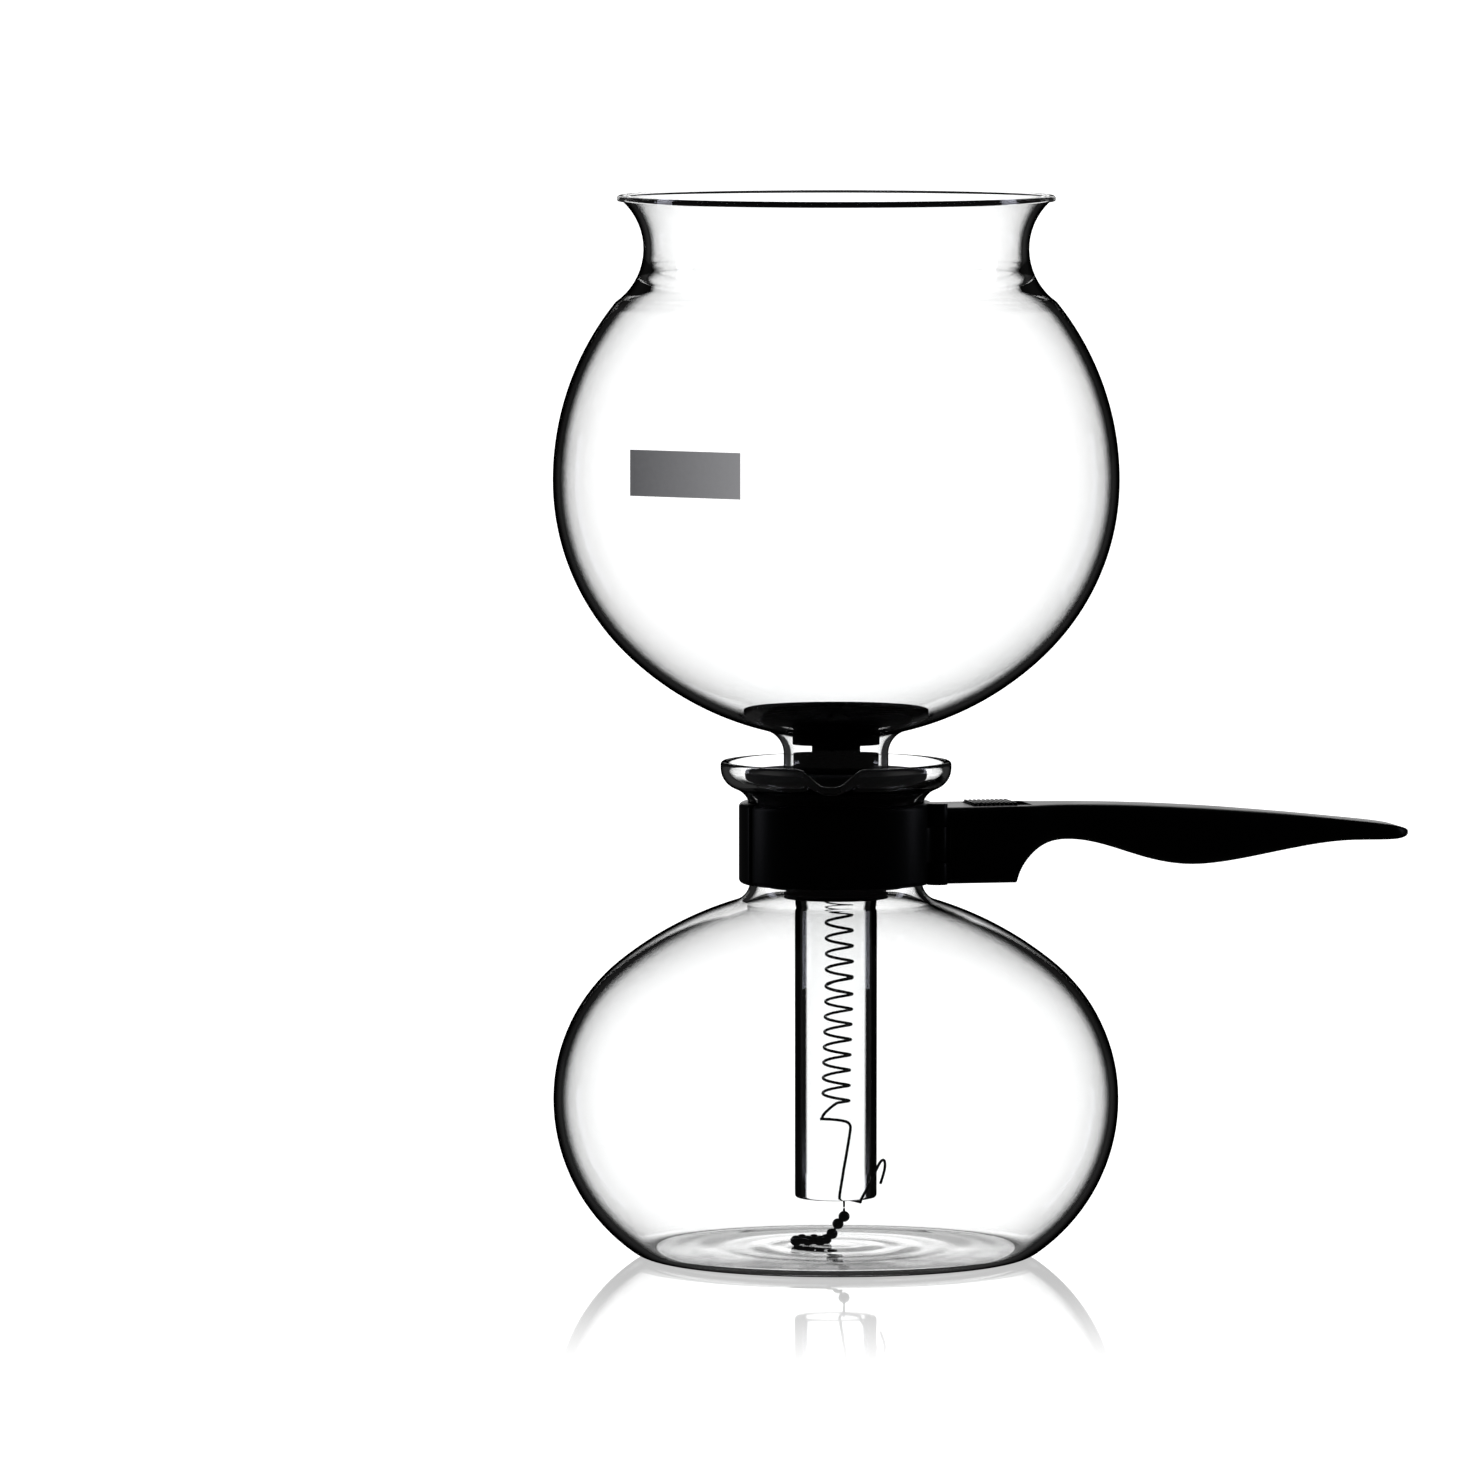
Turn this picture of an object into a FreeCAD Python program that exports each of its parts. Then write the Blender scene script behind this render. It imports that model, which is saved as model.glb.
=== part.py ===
import FreeCAD, Part
import math
import os

# A siphon coffee maker: glass carafe, glass funnel, rubber gasket, spring-held filter and clamped handle.
# Millimetres, +Z up, origin at the centre of the carafe's base, handle along +X.

V = FreeCAD.Vector
UP = V(0, 0, 1)
ORIGIN = V(0, 0, 0)

# Carafe
GLOBE_RADIUS = 82.1          # both globes share one greatest radius
CARAFE_WALL = 2.0
CARAFE_WAIST_Z = 46.2        # height of the greatest radius
CARAFE_SHOULDER_RISE = 62.0  # from the greatest radius up to the shoulder's pole
CARAFE_SIDE_ARC = 51.0       # radius of the tighter arc above the waist
CARAFE_LOWER_ARC = 54.0      # radius of the arc from the waist down to the heel
HEEL_RADIUS = 12.0
NECK_RADIUS = 25.0
NECK_FILLET = 6.0
LIP_RADIUS = 33.5
FLARE_START_Z = 130.5
FLARE_RISE = 12.0
RIM_Z = 144.5
SPOUT_WIDTH = 14.5
SPOUT_DEPTH = 5.0
SPOUT_ANGLE = -105.5
RIM_ROUNDING = 0.4           # share of a glass wall by which its plain rims are rounded

# Funnel
FUNNEL_WALL = 1.8
BOWL_CENTRE_Z = 226.0
BOWL_DROP = 75.0             # from the greatest radius down to the lower pole
BOWL_SIDE_ARC = 70.0
THROAT_RADIUS = 56.0
CREASE_STEP = 2.1            # how much wider than the throat the crease below it is
THROAT_RISE = 6.4            # from the crease up to the throat
BOWL_RIM_RADIUS = 63.4
BOWL_RIM_Z = 308.0
BOWL_BEAD = 1.35             # radius of the fire-polished bead on the rim
WAIST_RADIUS = 15.2
WAIST_FILLET = 7.0
TUBE_TOP_Z = 143.0           # where the stem meets the bowl
TUBE_RADIUS = 11.9
TUBE_END_Z = 17.1
TUBE_TAPER_LOW_Z = 129.0
TUBE_TAPER_HIGH_Z = 139.0

# Gasket
SEAL_GAP = 0.3               # rubber drawn at rest, just short of the glass it presses on
GASKET_TOP_Z = 141.6
GASKET_FLANGE_RADIUS = 26.5
GASKET_FLANGE_THICKNESS = 4.0
GASKET_PLUG_LOW_Z = 109.0
GASKET_SHOULDER = 2.1        # how far the plug widens with the mouth's flare, under its flange
GASKET_PLUG_TAPER = 1.6      # how much narrower the plug is at its lower end
GASKET_SLEEVE_RADIUS = 14.6
GASKET_SLEEVE_LOW_Z = 103.6
GASKET_LIP = 0.6             # how far the two sleeve lips stand out
GASKET_LIP_HEIGHT = 0.8
GASKET_CORNER = 1.2
GASKET_GRIP_GAP = 0.05

# Filter
SEAT_GAP = 0.35              # between the filter's round underside and the bowl
FILTER_RADIUS = 27.0
FILTER_TOP_Z = 159.0
FILTER_CAP_THICKNESS = 2.4
FILTER_DOME_RISE = 0.9
FILTER_SLOTS = 20
FILTER_SLOT_WIDTH = 1.4
FILTER_SLOT_INNER = 10.5
FILTER_SLOT_OUTER = 20.0
SCREEN_RADIUS = 21.0
SCREEN_THICKNESS = 0.4
FILTER_BASE_RADIUS = 17.0
FILTER_BASE_OPENING = 9.5
FILTER_SKIRT_RADIUS = 12.6
FILTER_SKIRT_DEPTH = 3.8     # below the base's ring
POST_RADIUS = 7.0
POST_LOW_Z = 136.0
POST_SHANK_RADIUS = 5.0
GUIDE_RADIUS = 12.4
GUIDE_LOW_Z = 142.0
GUIDE_HEIGHT = 5.0
GUIDE_RIM = 1.6
GUIDE_SPOKES = 4

# Spring, hook and chain
WIRE_RADIUS = 0.42
SPRING_RADIUS = 3.9          # to the middle of the wire
SPRING_PITCH = 4.5
SPRING_TURNS = 20
SPRING_LEAD = 3.0            # height in which the coil turns into each straight end
HOOK_ANGLE = -12.0           # the upright plane that holds the hook
HOOK_BAR_REACH = 4.6
HOOK_BEND = 1.0
HOOK_DROP_X = 0.6            # where the hook's straight run reaches the stem's lower end
HOOK_OUTSIDE_TOP_Z = 28.5
HOOK_LOOP_WIDTH = 2.2
HOOK_LOOP_END_Z = 22.0
RIM_CLEARANCE = 0.15         # between the hook's wire and the stem's glass
RING_RADIUS = 1.5
RING_WIRE = 0.3
RING_OFFSET = 1.8            # along the hook's lower run
BEAD_RADIUS = 1.65
BEAD_COUNT = 9
BEAD_STEP = 1.75
BEAD_SWAY = 1.65
BEAD_FLOOR_GAP = 0.5
BEAD_LINK = 0.8              # free wire between the ring and the first bead
CHAIN_FALL = 2.6             # how much lower each hanging bead sits than the one before
CHAIN_PIN_RADIUS = 0.35

# Collar, clasp and handle
COLLAR_GAP = 0.3
COLLAR_RADIUS = 28.2
COLLAR_LOW_Z = 109.0
COLLAR_HEIGHT = 23.6
COLLAR_EDGE = 1.4
SLIT_ANGLE = -163.5
SLIT_WIDTH = 2.0
SEAM_GAP = 0.5
BLOCK_HALF_WIDTH = 13.5
BLOCK_START_X = 15.0         # inside the bore, so that the block runs on to the band
BLOCK_END_X = 51.2
BLOCK_TOP_Z = 131.3
BLOCK_CORNER = 3.6
SCOOP_X = 66.6
SCOOP_Z = 121.1
BELLY_X = 104.1
BELLY_Z = 113.2
REAR_RISE_X = 156.0
REAR_RISE_Z = 119.4
TIP_X = 171.2
TIP_TOP_Z = 122.9
GRIP_WAIST_HALF_WIDTH = 11.0
GRIP_BELLY_HALF_WIDTH = 12.0
GRIP_REAR_HALF_WIDTH = 9.0
GRIP_CORNER = 5.5
GRIP_FALL = 1.7              # power by which the grip's top line falls towards the tip
CORNER_HEIGHT_SHARE = 0.45   # most of a section's height that its corner rounding may take
CORNER_WIDTH_SHARE = 0.9     # most of a section's half width that its corner rounding may take
TIP_ROUND = 7.0              # length over which the tip rounds off
TIP_LAST_TURN = 76.0         # degrees of the tip's rounding before its small end face
SCOOP_STEPS = 6
GRIP_STEPS = 8
TIP_STEPS = 4
PIN_X = 27.4
PIN_Y = -12.0
PIN_RADIUS = 1.0
PIN_FIT = 0.05
PIN_COVER = 2.0              # material above and below the pin
KNUCKLE_RADIUS = 3.0
KNUCKLE_HEIGHT = 10.0
EAR_WIDTH = 2.6
TAIL_LENGTH = 11.0
TAIL_ANGLE = 25.0
TAIL_WIDTH = 2.2
CAVITY_GAP = 0.4
NEAR_WALL = 1.5              # between the hollow and the block's near face
CLASP_OPENING = 40.0
SLIDE_TRAVEL = 4.0
PAD_FRONT_X = 39.4
PAD_LENGTH = 13.2
PAD_HALF_WIDTH = 7.0
PAD_THICKNESS = 1.6
PAD_PROUD = 0.3
RIB_COUNT = 10
RIB_HEIGHT = 0.5
RIB_SHARE = 0.55             # share of the rib pitch that stands proud
LEG_LENGTH = 4.0
LEG_WIDTH = 4.0
CAM_BACK_Y = 1.5
CAM_STEPS = 6


def at(radius, z):
    """Point of a meridian outline."""
    return V(radius, 0, z)


def around(angle, radius, z):
    """Point at an angle about the upright axis."""
    turn = math.radians(angle)
    return V(radius * math.cos(turn), radius * math.sin(turn), z)


def line(start, end):
    return Part.LineSegment(start, end).toShape()


def arc(centre, radius, start, end):
    """Meridian arc between two angles given in degrees."""
    points = []
    for angle in (start, (start + end) / 2, end):
        turn = math.radians(angle)
        points.append(centre + V(radius * math.cos(turn), 0, radius * math.sin(turn)))
    return Part.Arc(*points).toShape()


def angle_between(start, end):
    """Direction in degrees from one meridian point to another."""
    return math.degrees(math.atan2(end.z - start.z, end.x - start.x))


def first_point(edge):
    return edge.valueAt(edge.FirstParameter)


def last_point(edge):
    return edge.valueAt(edge.LastParameter)


def outline_face(points):
    return Part.Face(Part.makePolygon(list(points) + [points[0]]))


def turned(points):
    """Solid turned from a closed meridian of straight sides."""
    return outline_face(points).revolve(ORIGIN, UP, 360)


def glass_wall(outer, inner):
    """Glass between an outer and an inner meridian that run the same way."""
    ends = [line(first_point(outer[0]), first_point(inner[0])), line(last_point(outer[-1]), last_point(inner[-1]))]
    loop = Part.Wire(Part.__sortEdges__(outer + inner + ends))
    return Part.Face(loop).revolve(ORIGIN, UP, 360)


def plate(points, low, high):
    """Upright prism over a plan outline of (x, y) points."""
    face = outline_face([V(x, y, low) for x, y in points])
    return face.extrude(V(0, 0, high - low))


def drum(radius, low, high, x=0.0, y=0.0):
    return Part.makeCylinder(radius, high - low, V(x, y, low))


def box(x_low, x_high, y_low, y_high, z_low, z_high):
    return Part.makeBox(x_high - x_low, y_high - y_low, z_high - z_low, V(x_low, y_low, z_low))


def ease(x, x_start, x_end, start, end):
    """Half a cosine wave from one value to another, level at both ends."""
    share = min(max((x - x_start) / (x_end - x_start), 0.0), 1.0)
    return start + (end - start) * (1 - math.cos(math.pi * share)) / 2


def pole_arc(radius, rise, side_arc):
    """Radius of the wide arc that carries a tight side arc on to the pole of an oval."""
    inset = radius - side_arc
    return (inset ** 2 + rise ** 2 - side_arc ** 2) / (2 * (rise - side_arc))


def flare_arc():
    """Radius of the two equal arcs of the mouth's S-shaped flare."""
    spread = LIP_RADIUS - NECK_RADIUS
    return (spread ** 2 + FLARE_RISE ** 2) / (4 * spread)


def carafe_outline(inset):
    """Meridian from the middle of the base up to the rim, moved in from the outer face by an inset."""
    side = at(GLOBE_RADIUS - CARAFE_SIDE_ARC, CARAFE_WAIST_Z)
    wide = pole_arc(GLOBE_RADIUS, CARAFE_SHOULDER_RISE, CARAFE_SIDE_ARC)
    top = at(0, CARAFE_WAIST_Z + CARAFE_SHOULDER_RISE - wide)
    lower = at(GLOBE_RADIUS - CARAFE_LOWER_ARC, CARAFE_WAIST_Z)
    drop = CARAFE_WAIST_Z - HEEL_RADIUS
    heel = at(lower.x + math.sqrt((CARAFE_LOWER_ARC - HEEL_RADIUS) ** 2 - drop ** 2), HEEL_RADIUS)
    fillet_x = NECK_RADIUS + NECK_FILLET
    fillet = at(fillet_x, top.z + math.sqrt((wide + NECK_FILLET) ** 2 - fillet_x ** 2))
    flare = flare_arc()
    lean = math.degrees(math.asin(FLARE_RISE / (2 * flare)))
    flare_out = at(NECK_RADIUS + flare, FLARE_START_Z)
    flare_back = at(LIP_RADIUS - flare, FLARE_START_Z + FLARE_RISE)
    heel_angle = angle_between(lower, heel)
    side_angle = angle_between(top, side)
    shoulder_angle = angle_between(top, fillet)
    return [
        line(at(0, inset), at(heel.x, inset)),
        arc(heel, HEEL_RADIUS - inset, -90, heel_angle),
        arc(lower, CARAFE_LOWER_ARC - inset, heel_angle, 0),
        arc(side, CARAFE_SIDE_ARC - inset, 0, side_angle),
        arc(top, wide - inset, side_angle, shoulder_angle),
        arc(fillet, NECK_FILLET + inset, 180 + shoulder_angle, 180),
        line(at(NECK_RADIUS - inset, fillet.z), at(NECK_RADIUS - inset, FLARE_START_Z)),
        arc(flare_out, flare + inset, 180, 180 - lean),
        arc(flare_back, flare - inset, -lean, 0),
        line(at(LIP_RADIUS - inset, FLARE_START_Z + FLARE_RISE), at(LIP_RADIUS - inset, RIM_Z)),
    ]


def rounded_rim(solid, z, reach):
    """Fire-polished edge: the two circles of a rim rounded over."""
    edges = [e for e in solid.Edges if abs(e.BoundBox.ZMin - z) < 0.01 and abs(e.BoundBox.ZMax - z) < 0.01]
    return solid.makeFillet(reach, edges)


def make_carafe():
    wall = glass_wall(carafe_outline(0), carafe_outline(CARAFE_WALL))
    glass = rounded_rim(wall, RIM_Z, RIM_ROUNDING * CARAFE_WALL)
    dip = SPOUT_WIDTH / 2
    start = around(SPOUT_ANGLE, GASKET_FLANGE_RADIUS, RIM_Z - SPOUT_DEPTH + dip)
    notch = Part.makeCylinder(dip, LIP_RADIUS, start, around(SPOUT_ANGLE, 1, 0))
    return glass.cut(notch)


def bowl_arcs():
    """Side and pole arcs of the lower half of the bowl: two centres and the wide radius."""
    wide = pole_arc(GLOBE_RADIUS, BOWL_DROP, BOWL_SIDE_ARC)
    side = at(GLOBE_RADIUS - BOWL_SIDE_ARC, BOWL_CENTRE_Z)
    low = at(0, BOWL_CENTRE_Z - BOWL_DROP + wide)
    return side, low, wide


def bowl_collar():
    """Circle of the flared collar's outer face: through the crease, the throat and the rim."""
    crease_x = THROAT_RADIUS + CREASE_STEP
    crease = at(crease_x, BOWL_CENTRE_Z + math.sqrt(GLOBE_RADIUS ** 2 - crease_x ** 2))
    throat = at(THROAT_RADIUS, crease.z + THROAT_RISE)
    return Part.Circle(crease, throat, at(BOWL_RIM_RADIUS, BOWL_RIM_Z))


def bowl_outline(inset):
    """Meridian from the stem up to the rim, moved in from the outer face by an inset."""
    side, low, wide = bowl_arcs()
    fillet_x = WAIST_RADIUS + WAIST_FILLET
    fillet = at(fillet_x, low.z - math.sqrt((wide + WAIST_FILLET) ** 2 - fillet_x ** 2))
    low_angle = angle_between(low, fillet)
    side_angle = angle_between(low, side)
    middle = at(0, BOWL_CENTRE_Z)
    globe = GLOBE_RADIUS - inset
    collar = bowl_collar()
    bend = collar.Radius + inset
    apart = (collar.Center - middle).Length
    half_lens = math.degrees(math.acos((globe ** 2 + apart ** 2 - bend ** 2) / (2 * globe * apart)))
    crease_angle = angle_between(middle, collar.Center) - half_lens
    upper_globe = arc(middle, globe, 0, crease_angle)
    collar_start = angle_between(collar.Center, last_point(upper_globe)) % 360
    collar_end = angle_between(collar.Center, at(BOWL_RIM_RADIUS, BOWL_RIM_Z)) % 360
    return [
        line(at(WAIST_RADIUS - inset, TUBE_TOP_Z), at(WAIST_RADIUS - inset, fillet.z)),
        arc(fillet, WAIST_FILLET + inset, 180, 180 + low_angle),
        arc(low, wide - inset, low_angle, side_angle),
        arc(side, BOWL_SIDE_ARC - inset, side_angle, 0),
        upper_globe,
        arc(collar.Center, bend, collar_start, collar_end),
    ]


def make_funnel_bowl():
    bead = Part.makeTorus(BOWL_RIM_RADIUS - FUNNEL_WALL / 2, BOWL_BEAD, V(0, 0, BOWL_RIM_Z - BOWL_BEAD / 2))
    return glass_wall(bowl_outline(0), bowl_outline(FUNNEL_WALL)).fuse(bead)


def tube_outline(offset):
    """Stem meridian from its lower end to the bowl, moved in or out by an offset."""
    radius = TUBE_RADIUS + offset
    waist = WAIST_RADIUS + offset
    return [
        at(radius, TUBE_END_Z),
        at(radius, TUBE_TAPER_LOW_Z),
        at(waist, TUBE_TAPER_HIGH_Z),
        at(waist, TUBE_TOP_Z),
    ]


def make_siphon_tube():
    tube = turned(tube_outline(0) + tube_outline(-FUNNEL_WALL)[::-1])
    return rounded_rim(tube, TUBE_END_Z, RIM_ROUNDING * FUNNEL_WALL)


def make_gasket():
    plug_top = NECK_RADIUS - CARAFE_WALL - SEAL_GAP
    plug_low = plug_top - GASKET_PLUG_TAPER
    flange_low_z = GASKET_TOP_Z - GASKET_FLANGE_THICKNESS
    sleeve_step_z = GASKET_PLUG_LOW_Z - GASKET_CORNER
    bore = tube_outline(GASKET_GRIP_GAP)
    plug = turned([
        at(bore[0].x, GASKET_SLEEVE_LOW_Z),
        at(GASKET_SLEEVE_RADIUS, GASKET_SLEEVE_LOW_Z),
        at(GASKET_SLEEVE_RADIUS, sleeve_step_z),
        at(plug_low - GASKET_CORNER, sleeve_step_z),
        at(plug_low, GASKET_PLUG_LOW_Z),
        at(plug_top, FLARE_START_Z),
        at(plug_top, (FLARE_START_Z + flange_low_z) / 2),
        at(plug_top + GASKET_SHOULDER, flange_low_z - GASKET_CORNER),
        at(plug_top + GASKET_SHOULDER, flange_low_z),
        at(GASKET_FLANGE_RADIUS, flange_low_z),
        at(GASKET_FLANGE_RADIUS, GASKET_TOP_Z),
        at(bore[2].x, GASKET_TOP_Z),
        bore[2],
        bore[1],
    ])
    rim = [e for e in plug.Edges if abs(e.BoundBox.XMax - GASKET_FLANGE_RADIUS) < 0.01]
    plug = plug.makeFillet(GASKET_CORNER, [e for e in rim if e.BoundBox.ZLength < 0.01])
    lips_z = (GASKET_SLEEVE_LOW_Z, GASKET_SLEEVE_LOW_Z + 2 * GASKET_LIP_HEIGHT)
    lips = [drum(GASKET_SLEEVE_RADIUS + GASKET_LIP, z, z + GASKET_LIP_HEIGHT) for z in lips_z]
    hole = drum(GASKET_SLEEVE_RADIUS, GASKET_SLEEVE_LOW_Z, GASKET_PLUG_LOW_Z)
    return plug.fuse([lip.cut(hole) for lip in lips])


def bowl_floor_ball():
    """Ball the filter's underside is shaped to, just clear of the bowl's inner face."""
    _, low, wide = bowl_arcs()
    return Part.makeSphere(wide - FUNNEL_WALL - SEAT_GAP, low, UP, -90, 0, 360)


def filter_levels():
    """Heights of the cap's underside and of the screen's underside."""
    cap_low = FILTER_TOP_Z - FILTER_CAP_THICKNESS
    return cap_low, cap_low - SCREEN_THICKNESS


def make_filter_cap():
    cap_low, _ = filter_levels()
    disc = drum(FILTER_RADIUS, cap_low, FILTER_TOP_Z).common(bowl_floor_ball())
    slot = box(FILTER_SLOT_INNER, FILTER_SLOT_OUTER, -FILTER_SLOT_WIDTH / 2, FILTER_SLOT_WIDTH / 2,
               cap_low, FILTER_TOP_Z)
    slots = []
    for number in range(FILTER_SLOTS):
        turned_slot = slot.copy()
        turned_slot.rotate(ORIGIN, UP, 360 * number / FILTER_SLOTS)
        slots.append(turned_slot)
    return disc.cut(slots).cut(drum(POST_SHANK_RADIUS, cap_low, FILTER_TOP_Z))


def make_filter_screen():
    cap_low, screen_low = filter_levels()
    return drum(SCREEN_RADIUS, screen_low, cap_low).cut(drum(POST_SHANK_RADIUS, screen_low, cap_low))


def make_filter_base():
    _, screen_low = filter_levels()
    low = screen_low - FILTER_CAP_THICKNESS
    skirt_low = low - FILTER_SKIRT_DEPTH
    ring = drum(FILTER_BASE_RADIUS, low, screen_low).common(bowl_floor_ball())
    skirt = drum(FILTER_SKIRT_RADIUS, skirt_low, screen_low)
    return ring.fuse(skirt).cut(drum(FILTER_BASE_OPENING, skirt_low, screen_low))


def make_filter_post():
    cap_low, screen_low = filter_levels()
    knob_rise = FILTER_DOME_RISE
    ball = (POST_RADIUS ** 2 + knob_rise ** 2) / (2 * knob_rise)
    knob = Part.makeSphere(ball, V(0, 0, FILTER_TOP_Z + knob_rise - ball))
    knob = knob.common(drum(POST_RADIUS, FILTER_TOP_Z, FILTER_TOP_Z + knob_rise))
    shank = drum(POST_SHANK_RADIUS, screen_low, FILTER_TOP_Z)
    return knob.fuse([shank, drum(POST_RADIUS, POST_LOW_Z, screen_low)])


def make_filter_guide():
    high = GUIDE_LOW_Z + GUIDE_HEIGHT
    ring = drum(GUIDE_RADIUS, GUIDE_LOW_Z, high).cut(drum(GUIDE_RADIUS - GUIDE_RIM, GUIDE_LOW_Z, high))
    spokes = []
    for number in range(GUIDE_SPOKES):
        spoke = box(POST_RADIUS, GUIDE_RADIUS - GUIDE_RIM / 2, -GUIDE_RIM / 2, GUIDE_RIM / 2, GUIDE_LOW_Z, high)
        spoke.rotate(ORIGIN, UP, 360 * number / GUIDE_SPOKES)
        spokes.append(spoke)
    return ring.fuse(spokes).cut(drum(POST_RADIUS, GUIDE_LOW_Z, high))


def arc_middle(start, way, end):
    """Halfway point of the arc that leaves a point along a direction and ends at another point."""
    chord = end - start
    along = chord / chord.Length
    bulge = way - along * way.dot(along)
    half_turn = math.acos(way.dot(along))
    bulge.normalize()
    return (start + end) / 2 + bulge * (chord.Length / 2 * math.tan(half_turn / 2))


def biarc(start, start_way, end, end_way):
    """Two arcs, tangent to each other, from one point and direction to another."""
    chord = end - start
    lean = chord.dot(start_way + end_way)
    slack = 2 * (1 - start_way.dot(end_way))
    reach = (math.sqrt(lean ** 2 + slack * chord.dot(chord)) - lean) / slack
    middle = (start + end + (start_way - end_way) * reach) / 2
    first = Part.Arc(start, arc_middle(start, start_way, middle), middle)
    second = Part.Arc(middle, arc_middle(end, end_way * -1, middle), end)
    return [first.toShape(), second.toShape()]


def tube_along(edges, radius):
    """Round wire swept along a path of tangent lines and arcs."""
    start = edges[0].valueAt(edges[0].FirstParameter)
    way = edges[0].tangentAt(edges[0].FirstParameter)
    shell = Part.BRepOffsetAPI.MakePipeShell(Part.Wire(edges))
    shell.add(Part.Wire(Part.makeCircle(radius, start, way)))
    shell.build()
    shell.makeSolid()
    return shell.shape()


def rounded_path(points, bend):
    """Straight runs between points, with an arc of one radius at each corner."""
    edges = []
    start = points[0]
    for before, corner, after in zip(points, points[1:], points[2:]):
        way_in = (corner - before).normalize()
        way_out = (after - corner).normalize()
        turn = math.acos(way_in.dot(way_out))
        reach = bend * math.tan(turn / 2)
        bend_start = corner - way_in * reach
        bend_end = corner + way_out * reach
        edges.append(line(start, bend_start))
        edges.append(Part.Arc(bend_start, arc_middle(bend_start, way_in, bend_end), bend_end).toShape())
        start = bend_end
    edges.append(line(start, points[-1]))
    return edges


def spring_levels():
    """Heights of the coil's first and last full-width points and of the spring's foot."""
    coil_top = POST_LOW_Z - 2 * WIRE_RADIUS - SPRING_LEAD
    coil_low = coil_top - SPRING_PITCH * (SPRING_TURNS - 0.5)
    return coil_top, coil_low, coil_low - SPRING_LEAD - 2 * WIRE_RADIUS


def coil_point(turn):
    """Middle of the wire and its direction, a number of turns down from the spring's upper end."""
    coil_top, _, _ = spring_levels()
    angle = 180 + 360 * turn
    point = around(angle, SPRING_RADIUS, coil_top - SPRING_PITCH * (turn - 0.25))
    way = around(angle + 90, 2 * math.pi * SPRING_RADIUS, -SPRING_PITCH)
    return point, way.normalize()


def spring_path():
    """Wire path: straight ends square to the post and to the hook's bar, coils of half-turn arcs between."""
    _, _, foot = spring_levels()
    down = V(0, 0, -1)
    upper = around(180, SPRING_RADIUS, POST_LOW_Z)
    lower = around(180, SPRING_RADIUS, foot)
    stations = [(upper + down * 2 * WIRE_RADIUS, down)]
    for half in range(2 * SPRING_TURNS):
        stations.append(coil_point(0.25 + half / 2))
    stations.append((lower - down * 2 * WIRE_RADIUS, down))
    edges = [line(upper, stations[0][0])]
    for (start, start_way), (end, end_way) in zip(stations, stations[1:]):
        edges += biarc(start, start_way, end, end_way)
    edges.append(line(stations[-1][0], lower))
    return edges


def least_gap(edges, radius):
    """Least clear distance between stretches of a wire that are more than half a turn apart."""
    points = [point for edge in edges for point in edge.discretize(9)[:-1]]
    apart = math.pi * SPRING_RADIUS
    walked = [0.0]
    for before, after in zip(points, points[1:]):
        walked.append(walked[-1] + (after - before).Length)
    least = math.inf
    for number, point in enumerate(points):
        for other in range(number):
            if walked[number] - walked[other] > apart:
                least = min(least, (point - points[other]).Length)
    return least - 2 * radius


def in_hook_plane(shape):
    """Turn a shape drawn over +X into the upright plane of the hook."""
    shape.rotate(ORIGIN, UP, HOOK_ANGLE)
    return shape


def make_spring():
    path = spring_path()
    print("spring least gap to itself, mm:", round(least_gap(path, WIRE_RADIUS), 2))
    return in_hook_plane(tube_along(path, WIRE_RADIUS))


def hook_run_z():
    """Height of the hook's wire where it passes under the stem."""
    return TUBE_END_Z - RIM_CLEARANCE - WIRE_RADIUS


def make_hook():
    _, _, foot = spring_levels()
    bar_z = foot - WIRE_RADIUS
    run_z = hook_run_z()
    outside = TUBE_RADIUS + RIM_CLEARANCE + WIRE_RADIUS
    points = [
        at(-HOOK_BAR_REACH, bar_z),
        at(SPRING_RADIUS, bar_z),
        at(HOOK_DROP_X, run_z),
        at(outside, run_z),
        at(outside, HOOK_OUTSIDE_TOP_Z),
        at(outside + HOOK_LOOP_WIDTH, HOOK_OUTSIDE_TOP_Z),
        at(outside + HOOK_LOOP_WIDTH, HOOK_LOOP_END_Z),
    ]
    return in_hook_plane(tube_along(rounded_path(points, HOOK_BEND), WIRE_RADIUS))


def ring_centre():
    """Middle of the chain's ring, hanging from the hook's lower run."""
    return at(HOOK_DROP_X + RING_OFFSET, hook_run_z() - (RING_RADIUS - RING_WIRE - WIRE_RADIUS))


def make_chain_ring():
    return in_hook_plane(Part.makeTorus(RING_RADIUS, RING_WIRE, ring_centre(), V(1, 0, 0)))


def bead_places():
    """Middles of the beads: the first hangs from the ring, the rest zigzag along the carafe's floor."""
    ring = ring_centre()
    floor_z = CARAFE_WALL + BEAD_FLOOR_GAP + BEAD_RADIUS
    first_z = ring.z - RING_RADIUS - RING_WIRE - BEAD_LINK - BEAD_RADIUS
    places = []
    for number in range(BEAD_COUNT):
        sway = BEAD_SWAY if number % 2 else -BEAD_SWAY
        places.append(V(ring.x - BEAD_STEP * number, sway, max(first_z - CHAIN_FALL * number, floor_z)))
    return places


def make_chain_beads():
    return in_hook_plane(Part.makeCompound([Part.makeSphere(BEAD_RADIUS, place) for place in bead_places()]))


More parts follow.
